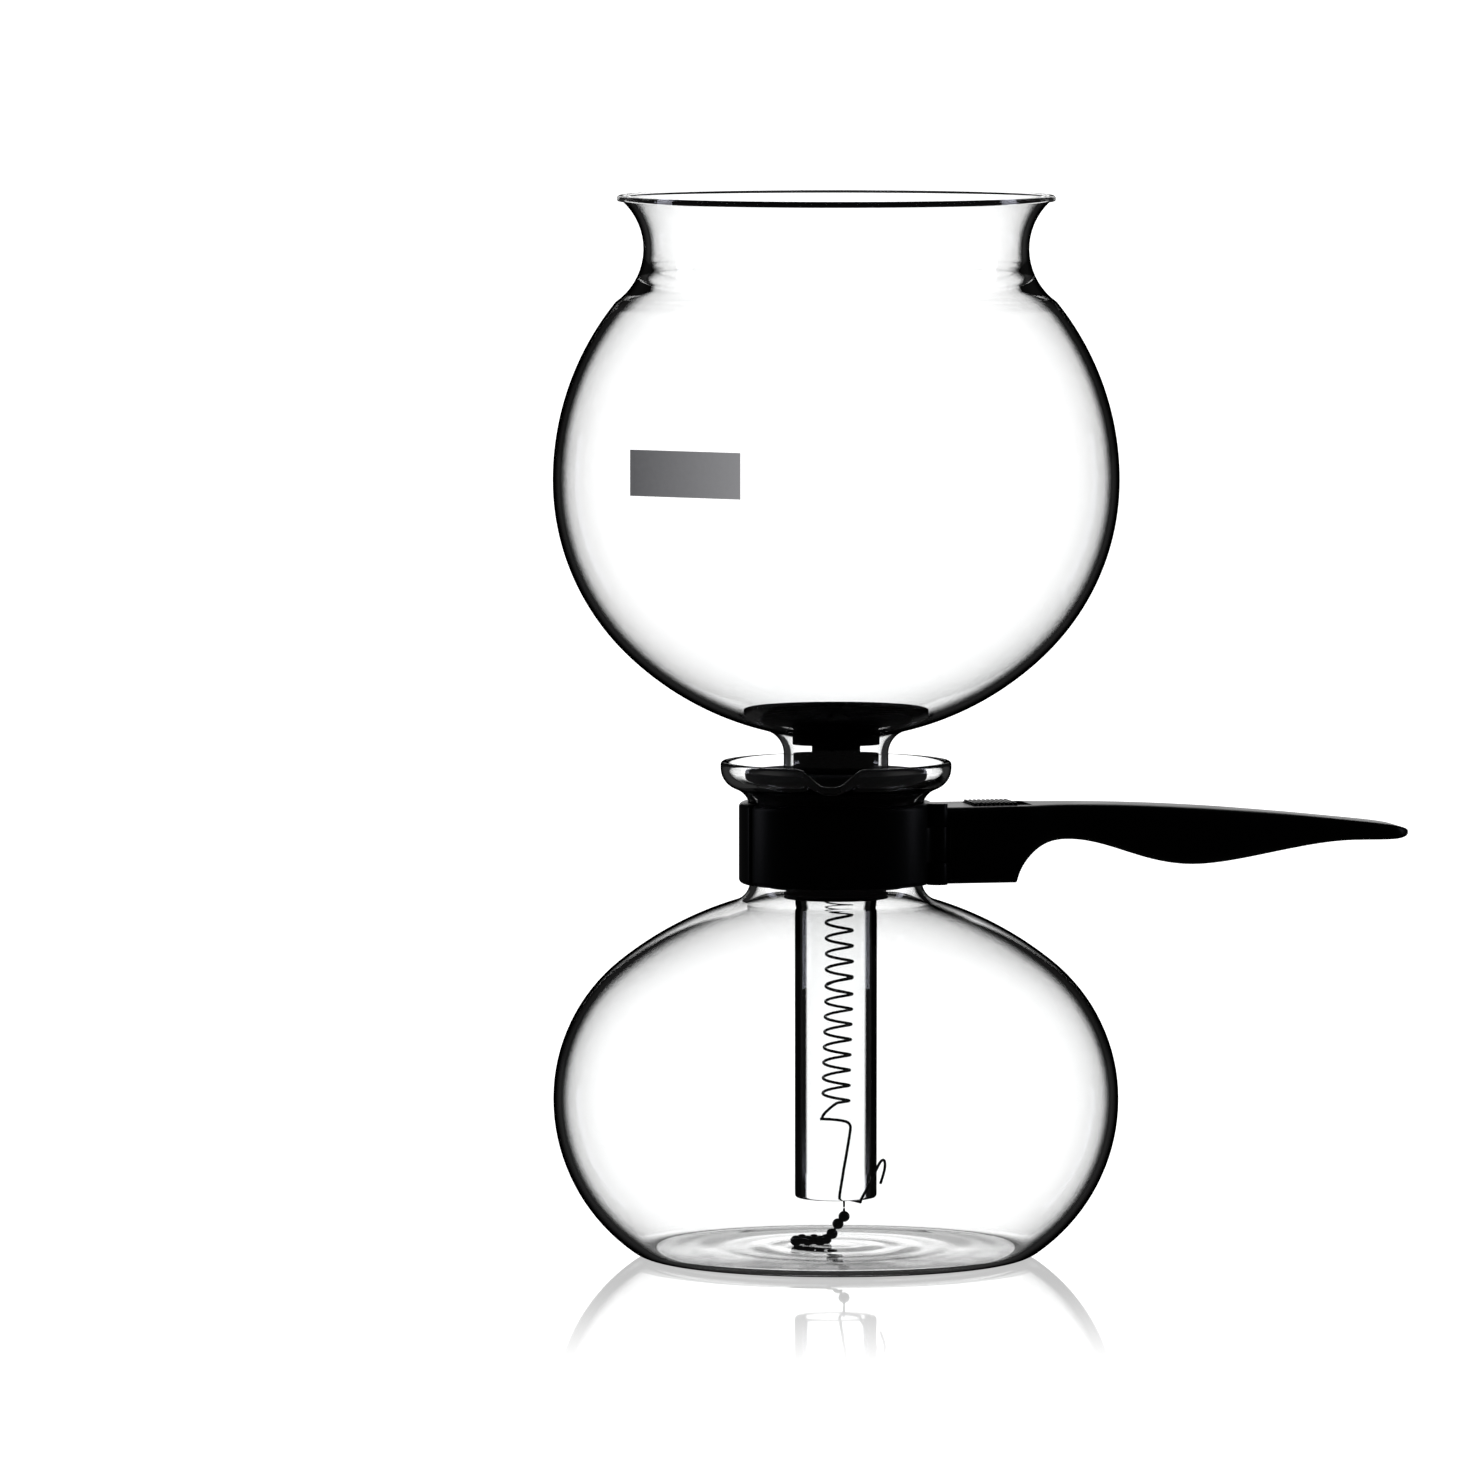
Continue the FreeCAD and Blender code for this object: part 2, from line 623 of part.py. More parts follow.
def make_chain_pins():
    """Short wires from the ring to the first bead and from bead to bead."""
    places = bead_places()
    ring_low = ring_centre() - V(0, 0, RING_RADIUS + RING_WIRE)
    starts = [ring_low] + places
    insets = [CHAIN_PIN_RADIUS] + [BEAD_RADIUS] * len(places)
    pins = []
    for start, inset, end in zip(starts, insets, places):
        way = (end - start).normalize()
        length = (end - start).Length - inset - BEAD_RADIUS
        pins.append(Part.makeCylinder(CHAIN_PIN_RADIUS, length, start + way * inset, way))
    return in_hook_plane(Part.makeCompound(pins))


def collar_top_z():
    return COLLAR_LOW_Z + COLLAR_HEIGHT


def neck_bore():
    """Space kept free around the carafe's neck: straight, then widening with the flare."""
    radius = NECK_RADIUS + COLLAR_GAP
    rise = collar_top_z() - FLARE_START_Z
    flare = flare_arc()
    spread = flare - math.sqrt(flare ** 2 - rise ** 2)
    straight = drum(radius, 0, collar_top_z())
    return straight.fuse(Part.makeCone(radius, radius + spread, rise, V(0, 0, FLARE_START_Z)))


def collar_band():
    """Whole band around the neck, outer edges rounded, still without its bore."""
    band = drum(COLLAR_RADIUS, COLLAR_LOW_Z, collar_top_z())
    rims = [edge for edge in band.Edges if edge.BoundBox.ZLength < 0.01]
    return band.makeFillet(COLLAR_EDGE, rims)


def front_of_collar(slit_angle, seam_y):
    """Upright prism over the front stretch of the collar, from the slit round to the block's seam."""
    far = 3 * COLLAR_RADIUS
    slit = around(slit_angle, far, 0)
    plan = [(0, 0), (0, seam_y), (far, seam_y), (far, -far), (-far, -far), (slit.x, slit.y)]
    return plate(plan, COLLAR_LOW_Z, collar_top_z())


def slit_half_angle():
    return math.degrees(SLIT_WIDTH / 2 / COLLAR_RADIUS)


def knuckle_levels():
    middle = COLLAR_LOW_Z + COLLAR_HEIGHT / 2
    return middle - KNUCKLE_HEIGHT / 2, middle + KNUCKLE_HEIGHT / 2


def bar_between(start, end, width, low, high):
    """Upright bar of even width between two plan points, rounded at the far end."""
    way = math.atan2(end[1] - start[1], end[0] - start[0])
    side_x = -math.sin(way) * width / 2
    side_y = math.cos(way) * width / 2
    plan = [
        (start[0] + side_x, start[1] + side_y),
        (start[0] - side_x, start[1] - side_y),
        (end[0] - side_x, end[1] - side_y),
        (end[0] + side_x, end[1] + side_y),
    ]
    return plate(plan, low, high).fuse(drum(width / 2, low, high, *end))


def tail_tip(opening):
    """Plan point of the clasp's tail tip when the clasp is open by some degrees."""
    turn = math.radians(TAIL_ANGLE + opening)
    return PIN_X + TAIL_LENGTH * math.cos(turn), PIN_Y + TAIL_LENGTH * math.sin(turn)


def make_front_clasp():
    low, high = knuckle_levels()
    seam_y = -(BLOCK_HALF_WIDTH + SEAM_GAP)
    pin = (PIN_X, PIN_Y)
    barrel = drum(KNUCKLE_RADIUS + SEAM_GAP, COLLAR_LOW_Z, collar_top_z(), *pin)
    band = collar_band().common(front_of_collar(SLIT_ANGLE + slit_half_angle(), seam_y)).cut(barrel)
    middle_radius = (NECK_RADIUS + COLLAR_GAP + COLLAR_RADIUS) / 2
    root_y = seam_y - EAR_WIDTH / 2
    root = (math.sqrt(middle_radius ** 2 - root_y ** 2), root_y)
    ear = bar_between(pin, root, EAR_WIDTH, low, high)
    tail = bar_between(pin, tail_tip(0), TAIL_WIDTH, low, high)
    knuckle = drum(KNUCKLE_RADIUS, low, high, *pin)
    clasp = band.fuse([ear, tail, knuckle]).cut(neck_bore())
    return clasp.cut(drum(PIN_RADIUS + PIN_FIT, low, high, *pin)).removeSplitter()


def make_clasp_pin():
    return drum(PIN_RADIUS, COLLAR_LOW_Z + PIN_COVER, collar_top_z() - PIN_COVER, PIN_X, PIN_Y)


def cam_face():
    """Plan points of the slide's cam, which keeps a small gap to the tail as slide and clasp move together."""
    pull = SLIDE_TRAVEL / math.radians(CLASP_OPENING)
    reach = TAIL_WIDTH / 2 + CAVITY_GAP
    points = []
    for step in range(CAM_STEPS + 1):
        opening = CLASP_OPENING * step / CAM_STEPS
        tip_x, tip_y = tail_tip(opening)
        turn = math.radians(TAIL_ANGLE + opening)
        normal_x = TAIL_LENGTH * math.cos(turn)
        normal_y = TAIL_LENGTH * math.sin(turn) + pull
        size = math.hypot(normal_x, normal_y)
        moved_x = tip_x - pull * math.radians(opening)
        points.append((moved_x + reach * normal_x / size, tip_y + reach * normal_y / size))
    return points


def pad_low_z():
    return BLOCK_TOP_Z + PAD_PROUD - PAD_THICKNESS


def make_thumb_slide():
    low, high = knuckle_levels()
    face = cam_face()
    leg_end = PAD_FRONT_X + LEG_LENGTH
    wedge = plate(face + [(face[-1][0], CAM_BACK_Y), (leg_end, CAM_BACK_Y), (leg_end, face[0][1])], low, high)
    leg = box(PAD_FRONT_X, leg_end, CAM_BACK_Y - LEG_WIDTH, CAM_BACK_Y, high, pad_low_z())
    pad_top = pad_low_z() + PAD_THICKNESS
    pad = box(PAD_FRONT_X, PAD_FRONT_X + PAD_LENGTH, -PAD_HALF_WIDTH, PAD_HALF_WIDTH, pad_low_z(), pad_top)
    pitch = PAD_LENGTH / RIB_COUNT
    ribs = []
    for number in range(RIB_COUNT):
        start = PAD_FRONT_X + pitch * (number + (1 - RIB_SHARE) / 2)
        ribs.append(box(start, start + pitch * RIB_SHARE, -PAD_HALF_WIDTH, PAD_HALF_WIDTH,
                        pad_top, pad_top + RIB_HEIGHT))
    return wedge.fuse([leg, pad] + ribs).removeSplitter()


def open_tail_side_x():
    """Least distance out from the axis that the opened tail's side reaches beyond its knuckle."""
    turn = math.radians(TAIL_ANGLE + CLASP_OPENING)
    return PIN_X + KNUCKLE_RADIUS * math.cos(turn) - TAIL_WIDTH / 2 * math.sin(turn)


def block_hollows():
    """Room inside the block for the clasp's ear and tail, the slide's cam and leg, and the pad's recess."""
    low, high = knuckle_levels()
    low -= CAVITY_GAP
    high += CAVITY_GAP
    turning = KNUCKLE_RADIUS + CAVITY_GAP
    face = cam_face()
    leg_end = PAD_FRONT_X + LEG_LENGTH
    back_y = CAM_BACK_Y + CAVITY_GAP
    pad_end = PAD_FRONT_X + PAD_LENGTH + SLIDE_TRAVEL + CAVITY_GAP
    pad_side = PAD_HALF_WIDTH + CAVITY_GAP
    top = BLOCK_TOP_Z + PAD_THICKNESS
    return [
        drum(turning, low, high, PIN_X, PIN_Y),
        box(NECK_RADIUS - EAR_WIDTH, PIN_X + turning, PIN_Y - turning, PIN_Y, low, high),
        box(min(face[-1][0], open_tail_side_x()) - CAVITY_GAP, leg_end + SLIDE_TRAVEL + CAVITY_GAP,
            NEAR_WALL - BLOCK_HALF_WIDTH, back_y, low, high),
        box(PAD_FRONT_X - CAVITY_GAP, leg_end + SLIDE_TRAVEL + CAVITY_GAP,
            CAM_BACK_Y - LEG_WIDTH - CAVITY_GAP, back_y, high, top),
        box(PAD_FRONT_X - CAVITY_GAP, pad_end, -pad_side, pad_side, pad_low_z() - CAVITY_GAP, top),
        make_clasp_pin(),
    ]


def grip_section(x, low, high, half_width, corner):
    """Rounded upright section of the handle at one distance from the axis."""
    corner = min(corner, CORNER_HEIGHT_SHARE * (high - low), CORNER_WIDTH_SHARE * half_width)
    slant = corner * (1 - math.sqrt(0.5))
    edges = []
    corners = [(-1, 1), (1, 1), (1, -1), (-1, -1)]
    runs = []
    for side, rise in corners:
        y = side * half_width
        z = high if rise > 0 else low
        across = V(x, y - side * corner, z)
        along = V(x, y, z - rise * corner)
        middle = V(x, y - side * slant, z - rise * slant)
        runs.append((along, middle, across) if side * rise < 0 else (across, middle, along))
    for number, (start, middle, end) in enumerate(runs):
        edges.append(Part.Arc(start, middle, end).toShape())
        edges.append(line(end, runs[(number + 1) % 4][0]))
    return Part.Wire(edges)


def scoop_arc():
    """Radius of the finger scoop's arc, level at its top and running into the block's lower corner."""
    reach = SCOOP_X - BLOCK_END_X
    rise = SCOOP_Z - COLLAR_LOW_Z
    return (reach ** 2 + rise ** 2) / (2 * rise)


def grip_low_z(x):
    if x <= SCOOP_X:
        radius = scoop_arc()
        return SCOOP_Z - radius + math.sqrt(max(radius ** 2 - (SCOOP_X - x) ** 2, 0))
    if x <= BELLY_X:
        return ease(x, SCOOP_X, BELLY_X, SCOOP_Z, BELLY_Z)
    return ease(x, BELLY_X, REAR_RISE_X, BELLY_Z, REAR_RISE_Z)


def grip_high_z(x):
    share = max(x - SCOOP_X, 0) / (TIP_X - SCOOP_X)
    return BLOCK_TOP_Z - (BLOCK_TOP_Z - TIP_TOP_Z) * share ** GRIP_FALL


def grip_half_width(x):
    if x <= SCOOP_X:
        return ease(x, BLOCK_END_X, SCOOP_X, BLOCK_HALF_WIDTH, GRIP_WAIST_HALF_WIDTH)
    if x <= BELLY_X:
        return ease(x, SCOOP_X, BELLY_X, GRIP_WAIST_HALF_WIDTH, GRIP_BELLY_HALF_WIDTH)
    return ease(x, BELLY_X, REAR_RISE_X, GRIP_BELLY_HALF_WIDTH, GRIP_REAR_HALF_WIDTH)


def grip_stations():
    """Distances from the axis of the grip's sections: close together in the scoop and at the tip."""
    radius = scoop_arc()
    start = math.acos((BLOCK_END_X - SCOOP_X) / radius)
    stations = []
    for step in range(SCOOP_STEPS):
        stations.append(SCOOP_X + radius * math.cos(start + (math.pi / 2 - start) * step / SCOOP_STEPS))
    tip_start = TIP_X - TIP_ROUND
    for step in range(GRIP_STEPS):
        stations.append(SCOOP_X + (tip_start - SCOOP_X) * step / GRIP_STEPS)
    for step in range(TIP_STEPS + 1):
        stations.append(tip_start + TIP_ROUND * math.sin(math.radians(TIP_LAST_TURN * step / TIP_STEPS)))
    return stations


def make_grip():
    sections = []
    tip_start = TIP_X - TIP_ROUND
    for x in grip_stations():
        low = grip_low_z(x)
        high = grip_high_z(x)
        share = max(x - tip_start, 0) / TIP_ROUND
        shrink = math.sqrt(1 - share ** 2)
        middle = (low + high) / 2
        half = (high - low) / 2 * shrink
        corner = ease(x, BLOCK_END_X, SCOOP_X, BLOCK_CORNER, GRIP_CORNER)
        sections.append(grip_section(x, middle - half, middle + half, grip_half_width(x) * shrink, corner))
    return Part.makeLoft(sections, True)


def make_block():
    start = grip_section(BLOCK_START_X, COLLAR_LOW_Z, BLOCK_TOP_Z, BLOCK_HALF_WIDTH, BLOCK_CORNER)
    end = grip_section(BLOCK_END_X, COLLAR_LOW_Z, BLOCK_TOP_Z, BLOCK_HALF_WIDTH, BLOCK_CORNER)
    return Part.makeLoft([start, end], True, True)


def make_handle_body():
    front = front_of_collar(SLIT_ANGLE - slit_half_angle(), -BLOCK_HALF_WIDTH)
    rear = collar_band().cut(front)
    barrel = drum(KNUCKLE_RADIUS, COLLAR_LOW_Z, collar_top_z(), PIN_X, PIN_Y)
    handle = rear.fuse([make_block(), make_grip(), barrel])
    return handle.cut([neck_bore()] + block_hollows()).removeSplitter()


PARTS = {
    "carafe": make_carafe,
    "funnel_bowl": make_funnel_bowl,
    "siphon_tube": make_siphon_tube,
    "funnel_gasket": make_gasket,
    "filter_cap": make_filter_cap,
    "filter_screen": make_filter_screen,
    "filter_base": make_filter_base,
    "filter_post": make_filter_post,
    "filter_guide": make_filter_guide,
    "filter_spring": make_spring,
    "filter_hook": make_hook,
    "chain_ring": make_chain_ring,
    "chain_beads": make_chain_beads,
    "chain_pins": make_chain_pins,
    "handle_body": make_handle_body,
    "front_clasp": make_front_clasp,
    "clasp_pin": make_clasp_pin,
    "thumb_slide": make_thumb_slide,
}

os.makedirs("parts", exist_ok=True)
for name, make in PARTS.items():
    shape = make()
    shape.exportStep("parts/" + name + ".step")
    bounds = shape.BoundBox
    print(name, len(shape.Solids), shape.isValid(), round(shape.Volume / 1000, 2), "cm3",
          [round(value, 1) for value in (bounds.XMin, bounds.XMax, bounds.YMin, bounds.YMax, bounds.ZMin, bounds.ZMax)])
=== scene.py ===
import logging
import math
from collections.abc import Callable
from dataclasses import dataclass
from enum import Enum

import bpy
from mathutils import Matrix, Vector


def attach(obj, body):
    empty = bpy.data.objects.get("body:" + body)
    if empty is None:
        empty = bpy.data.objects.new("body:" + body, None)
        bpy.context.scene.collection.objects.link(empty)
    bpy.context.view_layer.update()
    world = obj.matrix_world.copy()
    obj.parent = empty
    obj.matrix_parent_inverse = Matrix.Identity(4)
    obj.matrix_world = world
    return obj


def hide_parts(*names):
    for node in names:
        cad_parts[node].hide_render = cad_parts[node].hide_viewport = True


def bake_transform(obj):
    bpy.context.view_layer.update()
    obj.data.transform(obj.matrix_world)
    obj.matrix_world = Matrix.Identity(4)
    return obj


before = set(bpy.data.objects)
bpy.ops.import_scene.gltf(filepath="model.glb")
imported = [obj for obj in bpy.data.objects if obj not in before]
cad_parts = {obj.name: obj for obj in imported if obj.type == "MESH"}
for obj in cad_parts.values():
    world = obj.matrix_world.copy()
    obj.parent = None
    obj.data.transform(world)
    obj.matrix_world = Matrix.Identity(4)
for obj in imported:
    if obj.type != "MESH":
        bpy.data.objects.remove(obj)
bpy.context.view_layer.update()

LOG = logging.getLogger("siphon")
# The pieces' sizes are in millimetres and degrees, and MM turns millimetres into Blender's metres.
MM = 0.001

# Sizes that more than one piece follows.
GLOBE_RADIUS = 82.1
STEM_RADIUS = 11.9
STEM_END_Z = 17.1
# Turn of the photo's camera about the upright axis, in degrees.
PHOTO_AZIMUTH = -12.0

# Strength of the white surroundings, a little over full white.
WHITE_LEVEL = 1.42
WHITE = (1.0, 1.0, 1.0)
# Blender's noise runs from 0 to 1 about this middle.
NOISE_MIDDLE = 0.5
# Bounces are whole numbers, so fewer than half a bounce means none.
HALF_BOUNCE = 0.5
# Blender's band texture advances by this many radians per metre at a scale of 1.
BAND_RATE = 20

Point = tuple[float, float]
Colour = tuple[float, float, float]
Direction = tuple[float, float, float]


class Body(str, Enum):
    """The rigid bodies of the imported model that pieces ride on."""

    BASE = "base"
    FUNNEL = "funnel"
    FILTER = "filter"
    CLASP = "clasp"
    SLIDE = "slide"


class Slot(str, Enum):
    """The record's material slots."""

    GLASS = "clear_glass"
    RUBBER = "black_rubber"
    FILTER = "filter_plastic"
    HANDLE = "handle_plastic"
    WIRE = "spring_wire"
    BEAD = "bead_chrome"
    STEEL = "screen_steel"


@dataclass
class Value:
    """One output socket of a shader, usable in plain arithmetic."""

    tree: "ShaderTree"
    socket: bpy.types.NodeSocket

    def __add__(self, other: "Value | float") -> "Value":
        """Sum."""
        return self.tree.combine("ADD", self, other)

    def __radd__(self, other: float) -> "Value":
        """Sum with a number on the left."""
        return self.tree.combine("ADD", other, self)

    def __sub__(self, other: "Value | float") -> "Value":
        """Difference."""
        return self.tree.combine("SUBTRACT", self, other)

    def __rsub__(self, other: float) -> "Value":
        """Difference from a number."""
        return self.tree.combine("SUBTRACT", other, self)

    def __mul__(self, other: "Value | float") -> "Value":
        """Product."""
        return self.tree.combine("MULTIPLY", self, other)

    def __rmul__(self, other: float) -> "Value":
        """Product with a number on the left."""
        return self.tree.combine("MULTIPLY", other, self)

    def __truediv__(self, other: "Value | float") -> "Value":
        """Quotient."""
        return self.tree.combine("DIVIDE", self, other)

    def __rtruediv__(self, other: float) -> "Value":
        """Quotient of a number."""
        return self.tree.combine("DIVIDE", other, self)


class ShaderTree:
    """The node tree of one material or world."""

    def __init__(self, owner: bpy.types.Material | bpy.types.World) -> None:
        """Start from an empty tree.

        Args:
            owner: the material or world that the nodes belong to.
        """
        owner.use_nodes = True
        self.tree = owner.node_tree
        self.tree.nodes.clear()

    def node(self, kind: str, settings: dict | None = None, inputs: dict | None = None,
             output: int | str = 0) -> Value:
        """Add a node.

        Args:
            kind: Blender's name of the node's type.
            settings: the node's own settings, set first; "stops" holds a ramp's two stops.
            inputs: socket name or number to a number, a colour or another value.
            output: which output the returned value stands for.

        Returns:
            The chosen output.
        """
        made = self.tree.nodes.new(kind)
        for name, setting in (settings or {}).items():
            if name == "stops":
                self.set_stops(made, setting)
            else:
                setattr(made, name, setting)
        for name, given in (inputs or {}).items():
            if isinstance(given, Value):
                self.tree.links.new(given.socket, made.inputs[name])
            else:
                made.inputs[name].default_value = given
        socket = made.outputs[output] if len(made.outputs) else None
        return Value(self, socket)

    @staticmethod
    def set_stops(ramp: bpy.types.Node, stops: tuple[tuple[float, Colour], ...]) -> None:
        """Give a colour ramp its stops.

        Args:
            ramp: the ramp's node.
            stops: value and colour of each stop.
        """
        for element, (position, colour) in zip(ramp.color_ramp.elements, stops):
            element.position = position
            element.color = (*colour, 1.0)

    def combine(self, operation: str, first: Value | float, second: Value | float) -> Value:
        """Add one Math node."""
        return self.node("ShaderNodeMath", {"operation": operation}, {0: first, 1: second})

    def place(self) -> Value:
        """Object coordinates, in metres."""
        return self.node("ShaderNodeTexCoord", output="Object")

    def noise(self, scale: float, detail: float = 3.0) -> Value:
        """Smooth noise between 0 and 1.

        Args:
            scale: waves per metre.
            detail: how many finer octaves are added.

        Returns:
            The noise value.
        """
        return self.node("ShaderNodeTexNoise", inputs={
            "Vector": self.place(), "Scale": scale, "Detail": detail})

    def bump(self, height: Value, strength: float, distance: float) -> Value:
        """Normal bent by a height value."""
        return self.node("ShaderNodeBump", inputs={
            "Height": height, "Strength": strength, "Distance": distance})

    def ramp(self, factor: Value, start: tuple[float, Colour], end: tuple[float, Colour]) -> Value:
        """Colour picked between two stops.

        Args:
            factor: what the colour follows.
            start: value and colour of the first stop.
            end: value and colour of the last stop.

        Returns:
            The colour.
        """
        return self.node("ShaderNodeValToRGB", {"stops": (start, end)}, {"Fac": factor})

    def ease(self, value: Value, start: float, end: float, low: float = 0.0, high: float = 1.0) -> Value:
        """Smooth step of a value between two limits, from a low to a high result."""
        return self.node("ShaderNodeMapRange", {"interpolation_type": "SMOOTHSTEP"}, {
            "Value": value, "From Min": start, "From Max": end, "To Min": low, "To Max": high})

    def turned_away(self, start: float, end: float) -> Value:
        """Nought where a face is looked at squarely, one where it is seen edge on."""
        facing = self.node("ShaderNodeLayerWeight", output="Facing")
        return self.ease(facing, start, end)

    def path(self, output: str) -> Value:
        """One fact about the light path that reaches a surface."""
        return self.node("ShaderNodeLightPath", output=output)

    def seen_straight(self) -> Value:
        """Tell what is looked at directly or straight through glass.

        Returns:
            One there, and nought once the light was mirrored.
        """
        mirrored = self.path("Glossy Depth") + self.path("Diffuse Depth")
        unbroken = self.combine("LESS_THAN", mirrored, HALF_BOUNCE)
        through = self.path("Is Transmission Ray") * unbroken
        return self.combine("MAXIMUM", self.path("Is Camera Ray"), through)

    def white_light(self, kind: str, strength: float) -> Value:
        """White light of a given strength, of a surface's or a world's type."""
        return self.node(kind, inputs={"Color": (*WHITE, 1.0), "Strength": strength})

    def surroundings(self, kind: str, dim: float) -> Value:
        """White surroundings, full where seen straight and dim in reflections.

        Args:
            kind: the light's type, a surface's or a world's.
            dim: its strength in reflections.

        Returns:
            The light.
        """
        faint = self.white_light(kind, dim)
        full = self.white_light(kind, WHITE_LEVEL)
        return self.mix(self.seen_straight(), faint, full)

    def mix(self, share: Value, first: Value, second: Value) -> Value:
        """A first shader that goes over to a second one by a share."""
        return self.node("ShaderNodeMixShader", inputs={0: share, 1: first, 2: second})

    def show(self, shader: Value) -> None:
        """Make a shader the material's surface."""
        self.node("ShaderNodeOutputMaterial", inputs={"Surface": shader})

    def show_surface(self, inputs: dict) -> None:
        """Show one principled surface."""
        self.show(self.node("ShaderNodeBsdfPrincipled", inputs=inputs))


@dataclass(frozen=True)
class Finish:
    """A finish: the name of its material and how its nodes are laid out."""

    name: str

    def material(self) -> bpy.types.Material:
        """Make the material once, then hand out the same one.

        Returns:
            The material.
        """
        found = bpy.data.materials.get(self.name)
        if found is None:
            found = bpy.data.materials.new(self.name)
            self.lay_out(ShaderTree(found))
        return found

    def lay_out(self, tree: ShaderTree) -> None:
        """Add the finish's nodes to an empty tree."""
        raise NotImplementedError


@dataclass(frozen=True)
class ClearGlass(Finish):
    """Blown borosilicate glass: clear face on, with a painted black shade where the wall turns away."""

    edge_start: float = 0.72
    edge_end: float = 0.89
    # Colour of the painted edge shade, put where the glass is seen edge on.
    painted_edge_shade: Colour = (0.001, 0.001, 0.001)
    ior: float = 1.47
    tint: Colour = (0.985, 0.99, 0.99)
    tint_scale: float = 9.0
    wave: float = 0.012
    wave_scale: float = 22.0
    wave_depth: float = 0.002

    def painted_shade_share(self, tree: ShaderTree) -> Value:
        """How much of the glass shows painted black shade: all of it where the wall is seen edge on."""
        return tree.turned_away(self.edge_start, self.edge_end)

    def lay_out(self, tree: ShaderTree) -> None:
        """Clear glass that goes over to a painted black shade where it turns edge on, with a faint blown
        waviness.

        Args:
            tree: the empty tree to fill.
        """
        wave = tree.bump(tree.noise(self.wave_scale, detail=1.0), self.wave, self.wave_depth)
        tint = tree.ramp(tree.noise(self.tint_scale, detail=2.0), (0.3, self.tint), (0.7, WHITE))
        glass = tree.node("ShaderNodeBsdfPrincipled", inputs={
            "Base Color": tint, "Normal": wave, "Roughness": 0.0,
            "IOR": self.ior, "Transmission Weight": 1.0})
        # Painted shade: a black surface stands in for the darkness refracted at the glass's edges.
        black = tree.node("ShaderNodeBsdfDiffuse", inputs={"Color": (*self.painted_edge_shade, 1.0)})
        tree.show(tree.mix(self.painted_shade_share(tree), glass, black))


@dataclass(frozen=True)
class FloorGlass(ClearGlass):
    """Thick glass of the carafe's floor, with a painted reflection of the room's dark side in uneven streaks.
    """

    edge_start: float = 0.70
    edge_end: float = 0.86
    painted_reflection_side: Direction = (-0.21, -0.98, 0.0)
    start: float = 0.002
    end: float = 0.050
    light: float = 0.05
    dark: float = 0.80
    streak: float = 0.034
    streak_scale: float = 90.0

    def painted_shade_share(self, tree: ShaderTree) -> Value:
        """Painted reflection of the dark room: a share that grows to one side of the floor's heel, seen only
        at a low angle.

        Args:
            tree: the tree that the nodes go in.

        Returns:
            The share.
        """
        # Painted reflection: darker towards the floor's front side, streaked by noise.
        side = tree.node("ShaderNodeVectorMath", {"operation": "DOT_PRODUCT"},
                         {0: tree.place(), 1: self.painted_reflection_side}, "Value")
        uneven = side + self.streak * (tree.noise(self.streak_scale, detail=4.0) - NOISE_MIDDLE)
        share = tree.ease(uneven, self.start, self.end, self.light, self.dark)
        return share * tree.turned_away(self.edge_start, self.edge_end)


@dataclass(frozen=True)
class MouldedBlack(Finish):
    """Black moulded plastic or rubber with a fine grain."""

    colour: Colour = (0.0012, 0.0012, 0.0015)
    lightening: float = 1.5
    cloud_scale: float = 60.0
    roughness: float = 0.34
    rough_swing: float = 0.12
    gloss: float = 0.06
    grain: float = 900.0
    relief: float = 0.08
    relief_depth: float = 0.0002

    def lay_out(self, tree: ShaderTree) -> None:
        """Cloudy gloss and colour over a fine moulded grain.

        Args:
            tree: the empty tree to fill.
        """
        cloud = tree.noise(self.cloud_scale, detail=4.0)
        light = tuple(self.lightening * part for part in self.colour)
        colour = tree.ramp(cloud, (0.3, self.colour), (0.75, light))
        rough = self.roughness + self.rough_swing * (cloud - NOISE_MIDDLE)
        grain = tree.bump(tree.noise(self.grain, detail=2.0), self.relief, self.relief_depth)
        tree.show_surface({
            "Base Color": colour, "Roughness": rough, "Normal": grain, "Specular IOR Level": self.gloss})


@dataclass(frozen=True)
class DrawnMetal(Finish):
    """Bright drawn or polished metal with fine wear, its colour painted nearly black as shade."""

    # Painted shade: the metal's colour is set nearly black, so it shows dark whatever it mirrors.
    colour: Colour = (0.012, 0.012, 0.013)
    darkening: float = 0.7
    mottle_scale: float = 420.0
    roughness: float = 0.22
    rough_swing: float = 0.15
    lines: float = 1400.0
    relief: float = 0.06
    relief_depth: float = 0.0001

    def lay_out(self, tree: ShaderTree) -> None:
        """Slightly mottled metal with fine drawing lines.

        Args:
            tree: the empty tree to fill.
        """
        mottle = tree.noise(self.mottle_scale)
        dark = tuple(self.darkening * part for part in self.colour)
        colour = tree.ramp(mottle, (0.3, dark), (0.7, self.colour))
        rough = self.roughness + self.rough_swing * (mottle - NOISE_MIDDLE)
        lines = tree.bump(tree.noise(self.lines, detail=2.0), self.relief, self.relief_depth)
        tree.show_surface({"Base Color": colour, "Roughness": rough, "Metallic": 1.0, "Normal": lines})


